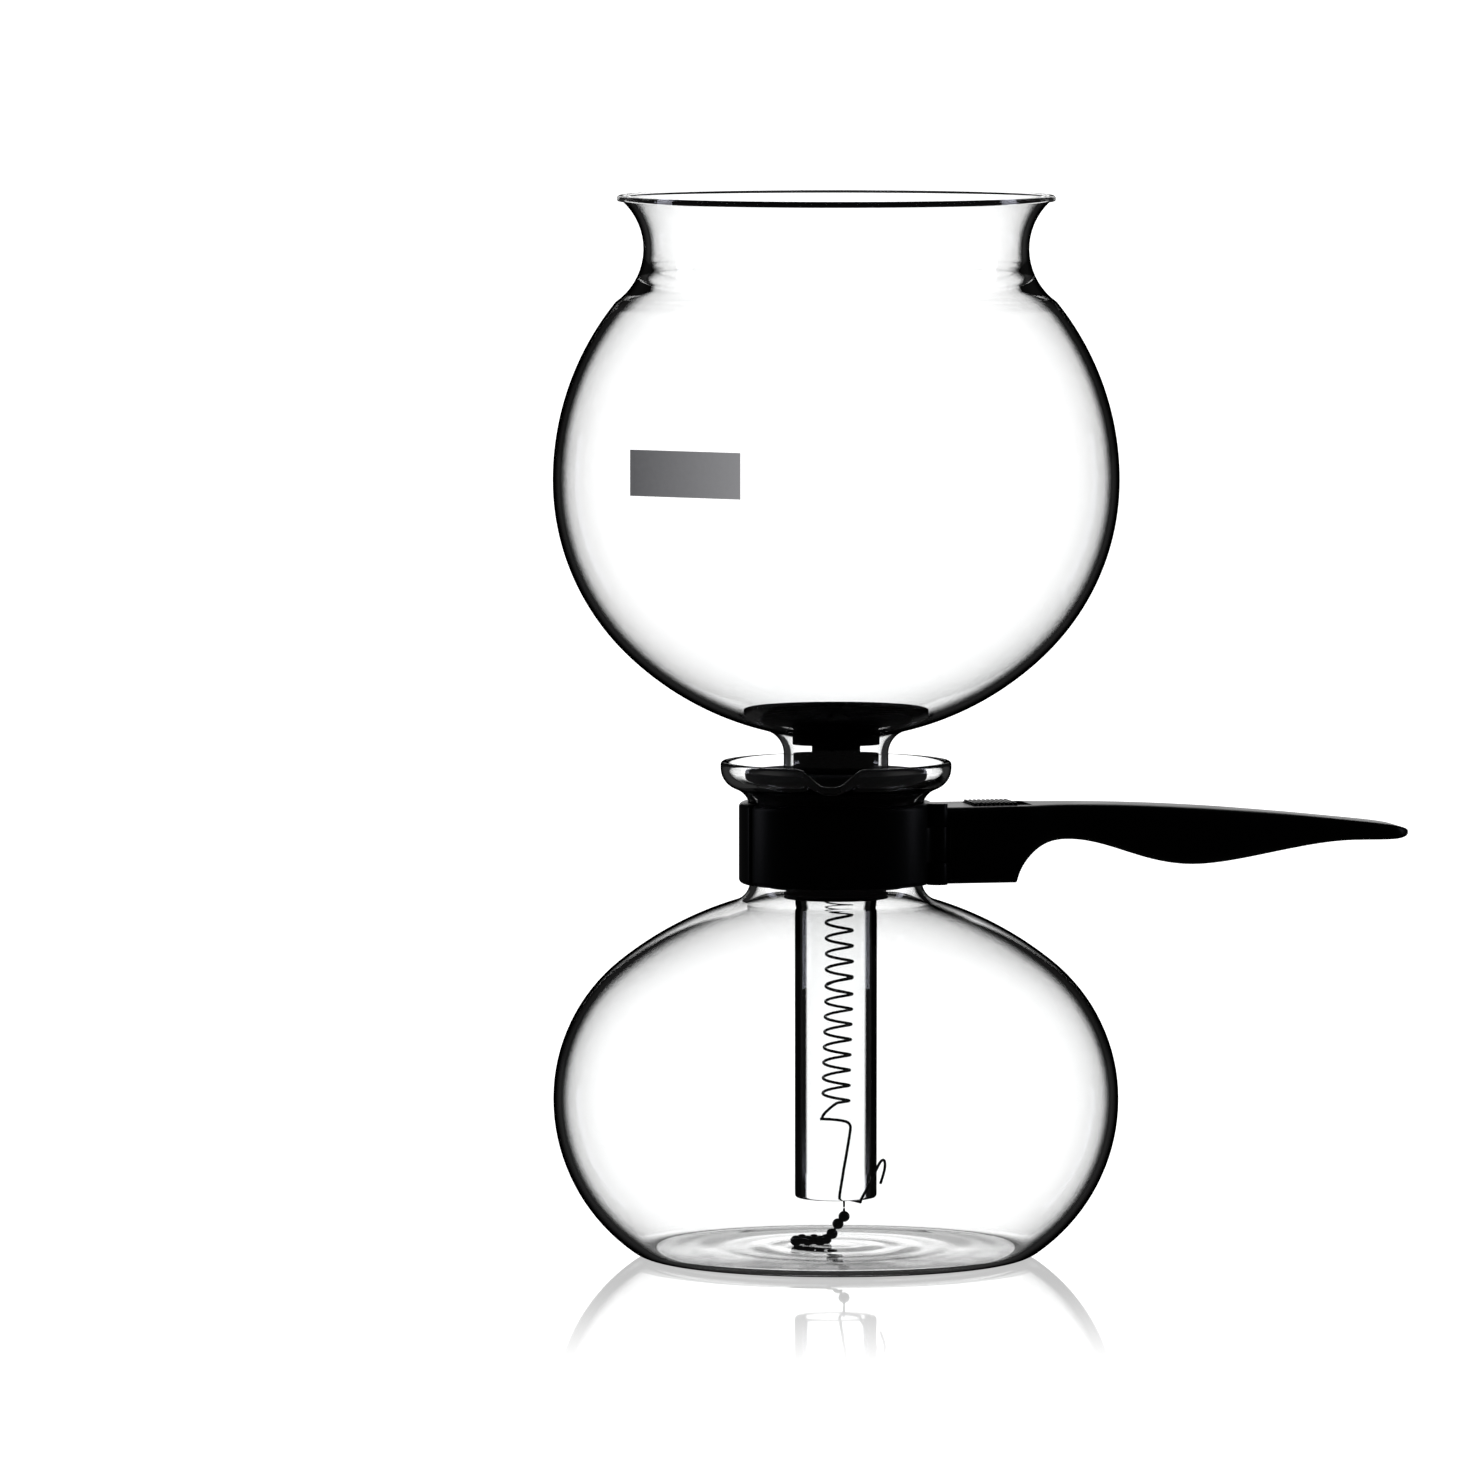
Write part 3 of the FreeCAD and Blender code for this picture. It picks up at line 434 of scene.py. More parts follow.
@dataclass(frozen=True)
class WovenScreen(Finish):
    """Fine woven filter screen."""

    pitch: float = 0.0006
    hole: Colour = (0.02, 0.02, 0.02)
    steel: Colour = (0.45, 0.45, 0.46)
    relief: float = 0.5
    relief_depth: float = 0.0002
    roughness: float = 0.4
    metallic: float = 0.9

    def lay_out(self, tree: ShaderTree) -> None:
        """Two crossed sets of wires as colour and relief.

        Args:
            tree: the empty tree to fill.
        """
        place = tree.place()
        wires = tree.combine("MAXIMUM", self.wires(tree, place, "X"), self.wires(tree, place, "Y"))
        colour = tree.ramp(wires, (0.35, self.hole), (0.6, self.steel))
        relief = tree.bump(wires, self.relief, self.relief_depth)
        tree.show_surface({
            "Base Color": colour, "Roughness": self.roughness, "Metallic": self.metallic, "Normal": relief})

    def wires(self, tree: ShaderTree, place: Value, direction: str) -> Value:
        """One set of wires as a wave along a direction.

        Args:
            tree: the tree that the nodes go in.
            place: the coordinates that it follows.
            direction: the axis that it runs along.

        Returns:
            The wave's height.
        """
        settings = {"wave_type": "BANDS", "bands_direction": direction, "wave_profile": "SIN"}
        scale = 2 * math.pi / (BAND_RATE * self.pitch)
        return tree.node("ShaderNodeTexWave", settings, {"Vector": place, "Scale": scale}, "Fac")


@dataclass(frozen=True)
class PrintedPanel(Finish):
    """Plain grey print on glass, a little lighter to one side, that glows with its own colour as painted
    light.
    """

    dark: Colour = (0.10, 0.10, 0.105)
    light: Colour = (0.33, 0.33, 0.34)
    start: float = -0.07
    width: float = 0.045
    grain: float = 0.08
    grain_scale: float = 700.0
    roughness: float = 0.5

    def lay_out(self, tree: ShaderTree) -> None:
        """A soft gradient from side to side with a faint print grain, also shown as a painted glow.

        Args:
            tree: the empty tree to fill.
        """
        across = tree.node("ShaderNodeSeparateXYZ", inputs={0: tree.place()}, output="X")
        grain = self.grain * (tree.noise(self.grain_scale) - NOISE_MIDDLE)
        slope = (across - self.start) / self.width + grain
        colour = tree.ramp(slope, (0.0, self.dark), (1.0, self.light))
        # Painted light: the print glows with its own colour, though it is no lamp.
        tree.show_surface({
            "Base Color": colour, "Roughness": self.roughness,
            "Emission Color": colour, "Emission Strength": 1.0})


@dataclass(frozen=True)
class PaleFloor(Finish):
    """White glossy floor that mirrors the foot of the object and fades out."""

    glow: float = 0.03
    mirror: float = 0.62
    blur: float = 0.03
    low_start: float = 0.80
    low_end: float = 0.88
    near: float = 0.06
    far: float = 0.42

    def lay_out(self, tree: ShaderTree) -> None:
        """White light with a mirror share that fades with distance and with a steeper look.

        Args:
            tree: the empty tree to fill.
        """
        away = tree.node("ShaderNodeVectorMath", {"operation": "LENGTH"}, {0: tree.place()}, "Value")
        share = tree.ease(away, self.near, self.far, self.mirror, 0.0)
        share = share * tree.turned_away(self.low_start, self.low_end)
        white = tree.surroundings("ShaderNodeEmission", self.glow)
        gloss = tree.node("ShaderNodeBsdfGlossy", inputs={"Color": (*WHITE, 1.0), "Roughness": self.blur})
        tree.show(tree.mix(share, white, gloss))


@dataclass(frozen=True)
class WhiteField(Finish):
    """Evenly lit white field behind the object."""

    def lay_out(self, tree: ShaderTree) -> None:
        """Plain white light."""
        tree.show(tree.white_light("ShaderNodeEmission", WHITE_LEVEL))


class Bench:
    """The modelling bench: starts, shapes and finishes meshes with Blender's own operators.

    Its angles are in degrees, and the weld distance is in metres.
    """

    WELD = 1e-6
    LATHE_ANGLE = 40.0
    WIRE_ANGLE = 50.0
    COPY_ANGLE = 35.0
    EDGE_STEPS = 2
    WIRE_ORDER = 3
    WIRE_STEPS = 8
    WIRE_ROUNDNESS = 4

    @staticmethod
    def clear() -> None:
        """Leave edit mode and deselect everything."""
        if bpy.context.mode != "OBJECT":
            bpy.ops.object.mode_set(mode="OBJECT")
        bpy.ops.object.select_all(action="DESELECT")

    @staticmethod
    def hold(piece: bpy.types.Object) -> None:
        """Make one piece the only selected and active one.

        Args:
            piece: the piece to hold.
        """
        Bench.clear()
        piece.select_set(True)
        bpy.context.view_layer.objects.active = piece

    @staticmethod
    def trace(name: str, points: list[Vector]) -> bpy.types.Object:
        """Draw an open line of edges by extruding one vertex from point to point.

        Args:
            name: the piece's name.
            points: the line's points, in metres.

        Returns:
            The new object, in edit mode with every vertex kept.
        """
        Bench.clear()
        bpy.ops.mesh.primitive_plane_add(size=MM, location=points[0])
        piece = bpy.context.active_object
        piece.name = name
        piece.data.name = name
        bpy.ops.object.transform_apply(location=True)
        bpy.ops.object.mode_set(mode="EDIT")
        bpy.ops.mesh.select_all(action="SELECT")
        bpy.ops.mesh.merge(type="CENTER")
        for before, after in zip(points, points[1:]):
            bpy.ops.mesh.extrude_region_move(TRANSFORM_OT_translate={"value": after - before})
        return piece

    @staticmethod
    def lathe(name: str, outline: list[Point], steps: int) -> bpy.types.Object:
        """Turn a closed solid from its meridian.

        Args:
            name: the piece's name.
            outline: radius and height in millimetres, from the axis or a rim round to the start.
            steps: how many faces go round.

        Returns:
            The finished mesh object, smooth and in object mode.
        """
        points = [Vector((radius * MM, 0.0, height * MM)) for radius, height in outline]
        piece = Bench.trace(name, points)
        bpy.ops.mesh.select_all(action="SELECT")
        bpy.ops.mesh.spin(steps=steps, angle=2 * math.pi, center=(0, 0, 0), axis=(0, 0, 1))
        bpy.ops.mesh.select_all(action="SELECT")
        bpy.ops.mesh.remove_doubles(threshold=Bench.WELD)
        bpy.ops.mesh.normals_make_consistent(inside=False)
        Bench.smooth(piece, Bench.LATHE_ANGLE)
        return piece

    @staticmethod
    def smooth(piece: bpy.types.Object, angle: float) -> None:
        """Shade smooth up to an angle in degrees."""
        Bench.hold(piece)
        bpy.ops.object.shade_smooth_by_angle(angle=math.radians(angle))

    @staticmethod
    def pick(piece: bpy.types.Object, test: Callable[[Vector], bool]) -> None:
        """Enter edit mode with only some vertices selected.

        Args:
            piece: the piece to edit.
            test: whether the vertex at a place is selected.
        """
        Bench.hold(piece)
        bpy.ops.object.mode_set(mode="EDIT")
        bpy.ops.mesh.select_mode(type="VERT")
        bpy.ops.mesh.select_all(action="DESELECT")
        bpy.ops.object.mode_set(mode="OBJECT")
        for vertex in piece.data.vertices:
            vertex.select = test(vertex.co)
        bpy.ops.object.mode_set(mode="EDIT")

    @staticmethod
    def apply_modifiers(piece: bpy.types.Object) -> None:
        """Apply a piece's modifiers in order.

        Args:
            piece: the piece to finish.
        """
        Bench.hold(piece)
        for modifier in list(piece.modifiers):
            bpy.ops.object.modifier_apply(modifier=modifier.name)

    @staticmethod
    def wire(name: str, points: list[Vector], radius: float) -> bpy.types.Object:
        """Round wire along a smooth line through points.

        Args:
            name: the piece's name.
            points: the line's points, in metres.
            radius: the wire's radius, in metres.

        Returns:
            The wire as a mesh object.
        """
        Bench.clear()
        bpy.ops.curve.primitive_nurbs_path_add()
        piece = bpy.context.active_object
        piece.name = name
        curve = piece.data
        curve.splines.clear()
        line = curve.splines.new("NURBS")
        line.points.add(len(points) - 1)
        for knot, point in zip(line.points, points):
            knot.co = (*point, 1.0)
        line.order_u = Bench.WIRE_ORDER
        line.use_endpoint_u = True
        line.resolution_u = Bench.WIRE_STEPS
        curve.bevel_depth = radius
        curve.bevel_resolution = Bench.WIRE_ROUNDNESS
        curve.use_fill_caps = True
        Bench.hold(piece)
        bpy.ops.object.convert(target="MESH")
        made = bpy.context.active_object
        made.data.name = name
        Bench.smooth(made, Bench.WIRE_ANGLE)
        return made

    @staticmethod
    def refined_copy(node: str, edge: float) -> bpy.types.Object:
        """Smooth, edge-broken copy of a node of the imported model.

        Args:
            node: the node's name.
            edge: width of the broken edges, in metres; nought leaves them sharp.

        Returns:
            The copy, which stands for the node.
        """
        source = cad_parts[node]
        piece = bpy.data.objects.new(node + "_dressed", source.data.copy())
        bpy.context.scene.collection.objects.link(piece)
        piece.data.materials.clear()
        Bench.hold(piece)
        bpy.ops.object.mode_set(mode="EDIT")
        bpy.ops.mesh.select_all(action="SELECT")
        bpy.ops.mesh.remove_doubles(threshold=Bench.WELD)
        bpy.ops.object.mode_set(mode="OBJECT")
        bpy.ops.mesh.customdata_custom_splitnormals_clear()
        if edge:
            bevel = piece.modifiers.new("edge", "BEVEL")
            bevel.width = edge
            bevel.segments = Bench.EDGE_STEPS
            bevel.limit_method = "ANGLE"
            bevel.angle_limit = math.radians(Bench.COPY_ANGLE)
            Bench.apply_modifiers(piece)
        Bench.smooth(piece, Bench.COPY_ANGLE)
        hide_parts(node)
        return piece

    @staticmethod
    def add_finish(piece: bpy.types.Object, finish: Finish) -> int:
        """Add one more finish to a piece and give its material index."""
        piece.data.materials.append(finish.material())
        return len(piece.data.materials) - 1

    @staticmethod
    def dress(piece: bpy.types.Object, finish: Finish, slot: Slot, body: Body | None) -> None:
        """Give a piece its finish and the body it rides on.

        Args:
            piece: the piece to dress.
            finish: its first finish.
            slot: not used.
            body: the body it rides on; none leaves the piece on no body.
        """
        Bench.add_finish(piece, finish)
        if body is not None:
            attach(piece, body.value)
        LOG.info("%s: %d faces, %s", piece.name, len(piece.data.polygons), finish.name)


def arc(centre: Point, radius: float, start: float, end: float, steps: int) -> list[Point]:
    """Points along an arc, both ends included.

    Args:
        centre: the arc's centre, in millimetres.
        radius: its radius.
        start: first angle, in degrees.
        end: last angle, in degrees.
        steps: number of chords.

    Returns:
        The points.
    """
    points = []
    for step in range(steps + 1):
        angle = math.radians(start + (end - start) * step / steps)
        points.append((centre[0] + radius * math.cos(angle), centre[1] + radius * math.sin(angle)))
    return points


def heading(start: Point, end: Point) -> float:
    """Direction from one point to another, in degrees."""
    return math.degrees(math.atan2(end[1] - start[1], end[0] - start[0]))


def pole_radius(radius: float, rise: float, side: float) -> float:
    """Radius of the wide arc that carries a tight side arc on to the pole of an oval."""
    inset = radius - side
    return (inset ** 2 + rise ** 2 - side ** 2) / (2 * (rise - side))


@dataclass
class Carafe:
    """The lower glass: flat-footed oval body, straight neck, flared mouth with a drawn spout."""

    radius: float = GLOBE_RADIUS
    wall: float = 2.0
    waist_z: float = 46.2
    shoulder_rise: float = 62.0
    side_arc: float = 51.0
    lower_arc: float = 54.0
    heel: float = 12.0
    neck: float = 25.0
    neck_fillet: float = 6.0
    lip: float = 33.5
    flare_start: float = 130.5
    flare_rise: float = 12.0
    rim_z: float = 144.5
    push_up: float = 0.8
    foot_steps: int = 8
    ripple: float = 0.12
    ripple_short: float = 1.6
    ripple_long: float = 2.9
    floor_steps: int = 40
    spout_angle: float = -105.5
    spout_half_angle: float = 4.0
    spout_drop: float = 5.0
    spout_reach: float = 1.5
    spout_spread: float = 8.0
    steps: int = 144

    def wall_points(self, inset: float) -> list[Point]:
        """Meridian of the wall from the heel to the lip.

        Args:
            inset: how far it lies in from the outer face.

        Returns:
            Radius and height of its points, in millimetres.
        """
        side = (self.radius - self.side_arc, self.waist_z)
        wide = pole_radius(self.radius, self.shoulder_rise, self.side_arc)
        top = (0.0, self.waist_z + self.shoulder_rise - wide)
        lower = (self.radius - self.lower_arc, self.waist_z)
        drop = self.waist_z - self.heel
        heel = (lower[0] + math.sqrt((self.lower_arc - self.heel) ** 2 - drop ** 2), self.heel)
        fillet_x = self.neck + self.neck_fillet
        fillet = (fillet_x, top[1] + math.sqrt((wide + self.neck_fillet) ** 2 - fillet_x ** 2))
        spread = self.lip - self.neck
        flare = (spread ** 2 + self.flare_rise ** 2) / (4 * spread)
        lean = math.degrees(math.asin(self.flare_rise / (2 * flare)))
        heel_angle = heading(lower, heel)
        side_angle = heading(top, side)
        shoulder_angle = heading(top, fillet)
        flare_out = (self.neck + flare, self.flare_start)
        flare_back = (self.lip - flare, self.flare_start + self.flare_rise)
        points = arc(heel, self.heel - inset, -90, heel_angle, steps=10)
        points += arc(lower, self.lower_arc - inset, heel_angle, 0, steps=18)[1:]
        points += arc(side, self.side_arc - inset, 0, side_angle, steps=16)[1:]
        points += arc(top, wide - inset, side_angle, shoulder_angle, steps=16)[1:]
        points += arc(fillet, self.neck_fillet + inset, 180 + shoulder_angle, 180, steps=8)[1:]
        points += arc(flare_out, flare + inset, 180, 180 - lean, steps=10)
        points += arc(flare_back, flare - inset, -lean, 0, steps=10)[1:]
        return points

    def foot_points(self, foot: float) -> list[Point]:
        """Pushed-up underside, from the axis out to the foot's edge.

        Args:
            foot: the foot's radius.

        Returns:
            Radius and height of its points, in millimetres.
        """
        points = []
        for step in range(self.foot_steps):
            share = step / self.foot_steps
            points.append((foot * share, self.push_up * (1 + math.cos(math.pi * share ** 3)) / 2))
        return points

    def floor_points(self, floor: float) -> list[Point]:
        """Rippled inner floor, from its edge in to the axis.

        Args:
            floor: the floor's radius.

        Returns:
            Radius and height of its points, in millimetres.
        """
        points = []
        for step in range(1, self.floor_steps + 1):
            reach = floor * (1 - step / self.floor_steps)
            inward = 1 - reach / floor
            waves = math.cos(reach / self.ripple_short) + math.sin(reach / self.ripple_long)
            points.append((reach, self.wall + self.push_up * inward + self.ripple * waves * inward))
        return points

    def outline(self) -> list[Point]:
        """Closed meridian of the whole glass: foot, outer face, rolled rim, inner face, rippled floor.

        Returns:
            Radius and height of its points, in millimetres.
        """
        outer = self.wall_points(0.0)
        inner = self.wall_points(self.wall)
        half = self.wall / 2
        points = self.foot_points(outer[0][0])
        points += outer
        points += arc((self.lip - half, self.rim_z - half), half, 0, 180, steps=8)
        points += inner[::-1]
        points += self.floor_points(inner[0][0])
        return points

    def build(self) -> None:
        """Turn the glass, draw the spout out of its rim and give the floor its own glass with a painted dark
        reflection.
        """
        piece = Bench.lathe("carafe_glass", self.outline(), self.steps)
        self.draw_spout(piece)
        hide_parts("carafe")
        Bench.dress(piece, ClearGlass("carafe_clear_glass"), Slot.GLASS, Body.BASE)
        floor_index = Bench.add_finish(piece, FloorGlass("carafe_floor_glass"))
        foot = self.wall_points(0.0)[0][0] * MM
        for face in piece.data.polygons:
            if face.center.z < 2 * self.wall * MM and face.center.xy.length < foot:
                face.material_index = floor_index

    def draw_spout(self, piece: bpy.types.Object) -> None:
        """Pull the rim down and out at the spout with a soft falloff.

        Args:
            piece: the turned glass.
        """
        turn = math.radians(self.spout_angle)
        way = Vector((math.cos(turn), math.sin(turn), 0.0))
        top = (self.rim_z - self.wall) * MM
        half_angle = math.radians(self.spout_half_angle)

        def on_spout(place: Vector) -> bool:
            """Whether a place lies on the rim at the spout."""
            flat = Vector((place.x, place.y, 0.0))
            return place.z > top and flat.angle(way, math.pi) < half_angle

        Bench.pick(piece, on_spout)
        pull = way * self.spout_reach * MM - Vector((0, 0, self.spout_drop * MM))
        bpy.ops.transform.translate(
            value=pull, use_proportional_edit=True, use_proportional_connected=True,
            proportional_edit_falloff="SMOOTH", proportional_size=self.spout_spread * MM)
        bpy.ops.object.mode_set(mode="OBJECT")


@dataclass
class Funnel:
    """The upper glass: globe with a flared collar, waist and long stem, in one piece."""

    radius: float = GLOBE_RADIUS
    wall: float = 1.8
    centre_z: float = 226.0
    drop: float = 75.0
    side_arc: float = 70.0
    crease_z: float = 284.0
    crease_roll: float = 1.1
    crease_band: float = 3.0
    throat: Point = (56.0, 290.4)
    rim: Point = (63.4, 308.0)
    rim_band: float = 1.6
    bead: float = 1.0
    bead_start: float = -40.0
    bead_end: float = 220.0
    waist: float = 15.2
    waist_fillet: float = 7.0
    stem: float = STEM_RADIUS
    stem_end: float = STEM_END_Z
    stem_steps: int = 12
    taper: Point = (129.0, 139.0)
    taper_steps: int = 8
    steps: int = 144
    panel_turn: float = -32.0
    panel_z: float = 231.3
    panel_width: float = 37.0
    panel_height: float = 13.2
    panel_lift: float = 0.1
    panel_film: float = 0.06

    def collar_arc(self) -> tuple[Point, float]:
        """Find the arc through crease, throat and rim.

        Returns:
            Its centre and its radius.
        """
        (ax, az), (bx, bz), (cx, cz) = self.crease(), self.throat, self.rim
        double = 2 * (ax * (bz - cz) + bx * (cz - az) + cx * (az - bz))
        a2 = ax ** 2 + az ** 2
        b2 = bx ** 2 + bz ** 2
        c2 = cx ** 2 + cz ** 2
        x = (a2 * (bz - cz) + b2 * (cz - az) + c2 * (az - bz)) / double
        z = (a2 * (cx - bx) + b2 * (ax - cx) + c2 * (bx - ax)) / double
        return (x, z), math.hypot(ax - x, az - z)

    def crease(self) -> Point:
        """Point of the outer face where globe and collar meet."""
        rise = self.crease_z - self.centre_z
        return math.sqrt(self.radius ** 2 - rise ** 2), self.crease_z

    def stem_points(self, inset: float) -> list[Point]:
        """Meridian from the stem's end up to the waist.

        Args:
            inset: how far it lies in from the outer face.

        Returns:
            Radius and height of its points, in millimetres.
        """
        taper_start, taper_end = self.taper
        points = [(self.stem - inset, self.stem_end + self.wall / 2)]
        for step in range(1, self.stem_steps + 1):
            height = self.stem_end + (taper_start - self.stem_end) * step / self.stem_steps
            points.append((self.stem - inset, height))
        for step in range(1, self.taper_steps + 1):
            share = step / self.taper_steps
            widening = (self.waist - self.stem) * (1 - math.cos(math.pi * share)) / 2
            points.append((self.stem + widening - inset, taper_start + (taper_end - taper_start) * share))
        return points

    def wall_points(self, inset: float) -> list[Point]:
        """Meridian of the wall from the stem's end to the rim.

        Args:
            inset: how far it lies in from the outer face.

        Returns:
            Radius and height of its points, in millimetres.
        """
        wide = pole_radius(self.radius, self.drop, self.side_arc)
        middle = (0.0, self.centre_z)
        low = (0.0, self.centre_z - self.drop + wide)
        side = (self.radius - self.side_arc, self.centre_z)
        fillet_x = self.waist + self.waist_fillet
        fillet = (fillet_x, low[1] - math.sqrt((wide + self.waist_fillet) ** 2 - fillet_x ** 2))
        low_angle = heading(low, fillet)
        side_angle = heading(low, side)
        centre, collar = self.collar_arc()
        globe = self.radius - inset
        bend = collar + inset
        apart = math.hypot(centre[0], centre[1] - self.centre_z)
        reach = math.degrees(math.acos((globe ** 2 + apart ** 2 - bend ** 2) / (2 * globe * apart)))
        crease = heading(middle, centre) - reach
        crease_point = arc(middle, globe, crease, crease, steps=1)[0]
        crease_angle = heading(centre, crease_point) % 360
        rim_angle = heading(centre, self.rim) % 360
        points = self.stem_points(inset)
        points += arc(fillet, self.waist_fillet + inset, 180, 180 + low_angle, steps=12)
        points += arc(low, wide - inset, low_angle, side_angle, steps=20)[1:]
        points += arc(side, self.side_arc - inset, side_angle, 0, steps=24)[1:]
        points += arc(middle, globe, 0, crease, steps=26)[1:-1]
        points += arc(centre, bend, crease_angle, rim_angle, steps=18)
        return points

    def roll(self, x: float, z: float) -> float:
        """How much thicker the glass is near the crease, on the inside.

        Args:
            x: radius of a point of the inner face.
            z: its height.

        Returns:
            The added thickness.
        """
        if x < self.throat[0] / 2:
            return 0.0
        return self.crease_roll * math.exp(-((z - self.crease_z) / self.crease_band) ** 2)

    def outline(self) -> list[Point]:
        """Closed meridian: outer face, beaded rim, inner face, fire-polished stem end.

        Returns:
            Radius and height of its points, in millimetres.
        """
        outer = self.wall_points(0.0)
        inner = [(x - self.roll(x, z), z) for x, z in self.wall_points(self.wall)]
        half = self.wall / 2
        bead_middle = (self.rim[0] - half, self.rim[1] - self.bead / 2)
        points = outer[:-1]
        points += arc(bead_middle, self.bead, self.bead_start, self.bead_end, steps=14)
        points += inner[:-1][::-1]
        points += arc((self.stem - half, self.stem_end + half), half, 180, 360, steps=6)[1:]
        return points

    def build(self) -> None:
        """Turn the glass; the thick-walled stem gets darker painted edge shade and the rim lighter painted
        edge shade.
        """
        piece = Bench.lathe("funnel_glass", self.outline(), self.steps)
        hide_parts("funnel_bowl", "siphon_tube")
        Bench.dress(piece, ClearGlass("bowl_clear_glass"), Slot.GLASS, Body.FUNNEL)
        # The stem's painted edge shade reaches further in, the rim's less far.
        stem = ClearGlass("stem_clear_glass", edge_start=0.40, edge_end=0.52)
        rim = ClearGlass("rim_clear_glass", edge_start=0.86, edge_end=0.98)
        stem_index = Bench.add_finish(piece, stem)
        rim_index = Bench.add_finish(piece, rim)
        for face in piece.data.polygons:
            if face.center.z < self.taper[1] * MM:
                face.material_index = stem_index
            elif face.center.z > (self.rim[1] - self.rim_band) * MM:
                face.material_index = rim_index
        self.add_panel(piece)

    def add_panel(self, glass: bpy.types.Object) -> None:
        """Lay a plain grey printed panel on the front of the globe.

        Args:
            glass: the globe that the panel is wrapped on.
        """
        turn = math.radians(PHOTO_AZIMUTH - 90 + self.panel_turn)
        place = Vector((math.cos(turn), math.sin(turn), 0.0)) * self.radius * MM
        Bench.clear()
        bpy.ops.mesh.primitive_grid_add(
            x_subdivisions=24, y_subdivisions=12, size=1.0,
            location=place + Vector((0, 0, self.panel_z * MM)), rotation=(math.pi / 2, 0, turn + math.pi / 2))
        piece = bpy.context.active_object
        piece.name = "bowl_panel"
        piece.scale = (self.panel_width * MM, self.panel_height * MM, 1.0)
        bpy.ops.object.transform_apply(location=True, rotation=True, scale=True)
        wrap = piece.modifiers.new("wrap", "SHRINKWRAP")
        wrap.target = glass
        wrap.wrap_mode = "OUTSIDE"
        wrap.offset = self.panel_lift * MM
        film = piece.modifiers.new("film", "SOLIDIFY")
        film.thickness = self.panel_film * MM
        Bench.apply_modifiers(piece)
        Bench.smooth(piece, Bench.LATHE_ANGLE)
        Bench.dress(piece, PrintedPanel("grey_print_painted_glow"), Slot.STEEL, Body.FUNNEL)


@dataclass
class FilterSet:
    """Black slotted filter with its post, guide and screen."""

    edge: float = 0.15
    plastic_nodes: tuple[str, ...] = ("filter_cap", "filter_base", "filter_post", "filter_guide")

    def build(self) -> None:
        """Dress the filter's solids."""
        plastic = MouldedBlack("filter_black_plastic", roughness=0.75, gloss=0.01, grain=700.0)
        for node in self.plastic_nodes:
            piece = Bench.refined_copy(node, self.edge * MM)
            Bench.dress(piece, plastic, Slot.FILTER, Body.FILTER)
        screen = Bench.refined_copy("filter_screen", 0.0)
        Bench.dress(screen, WovenScreen("woven_screen"), Slot.STEEL, Body.FILTER)


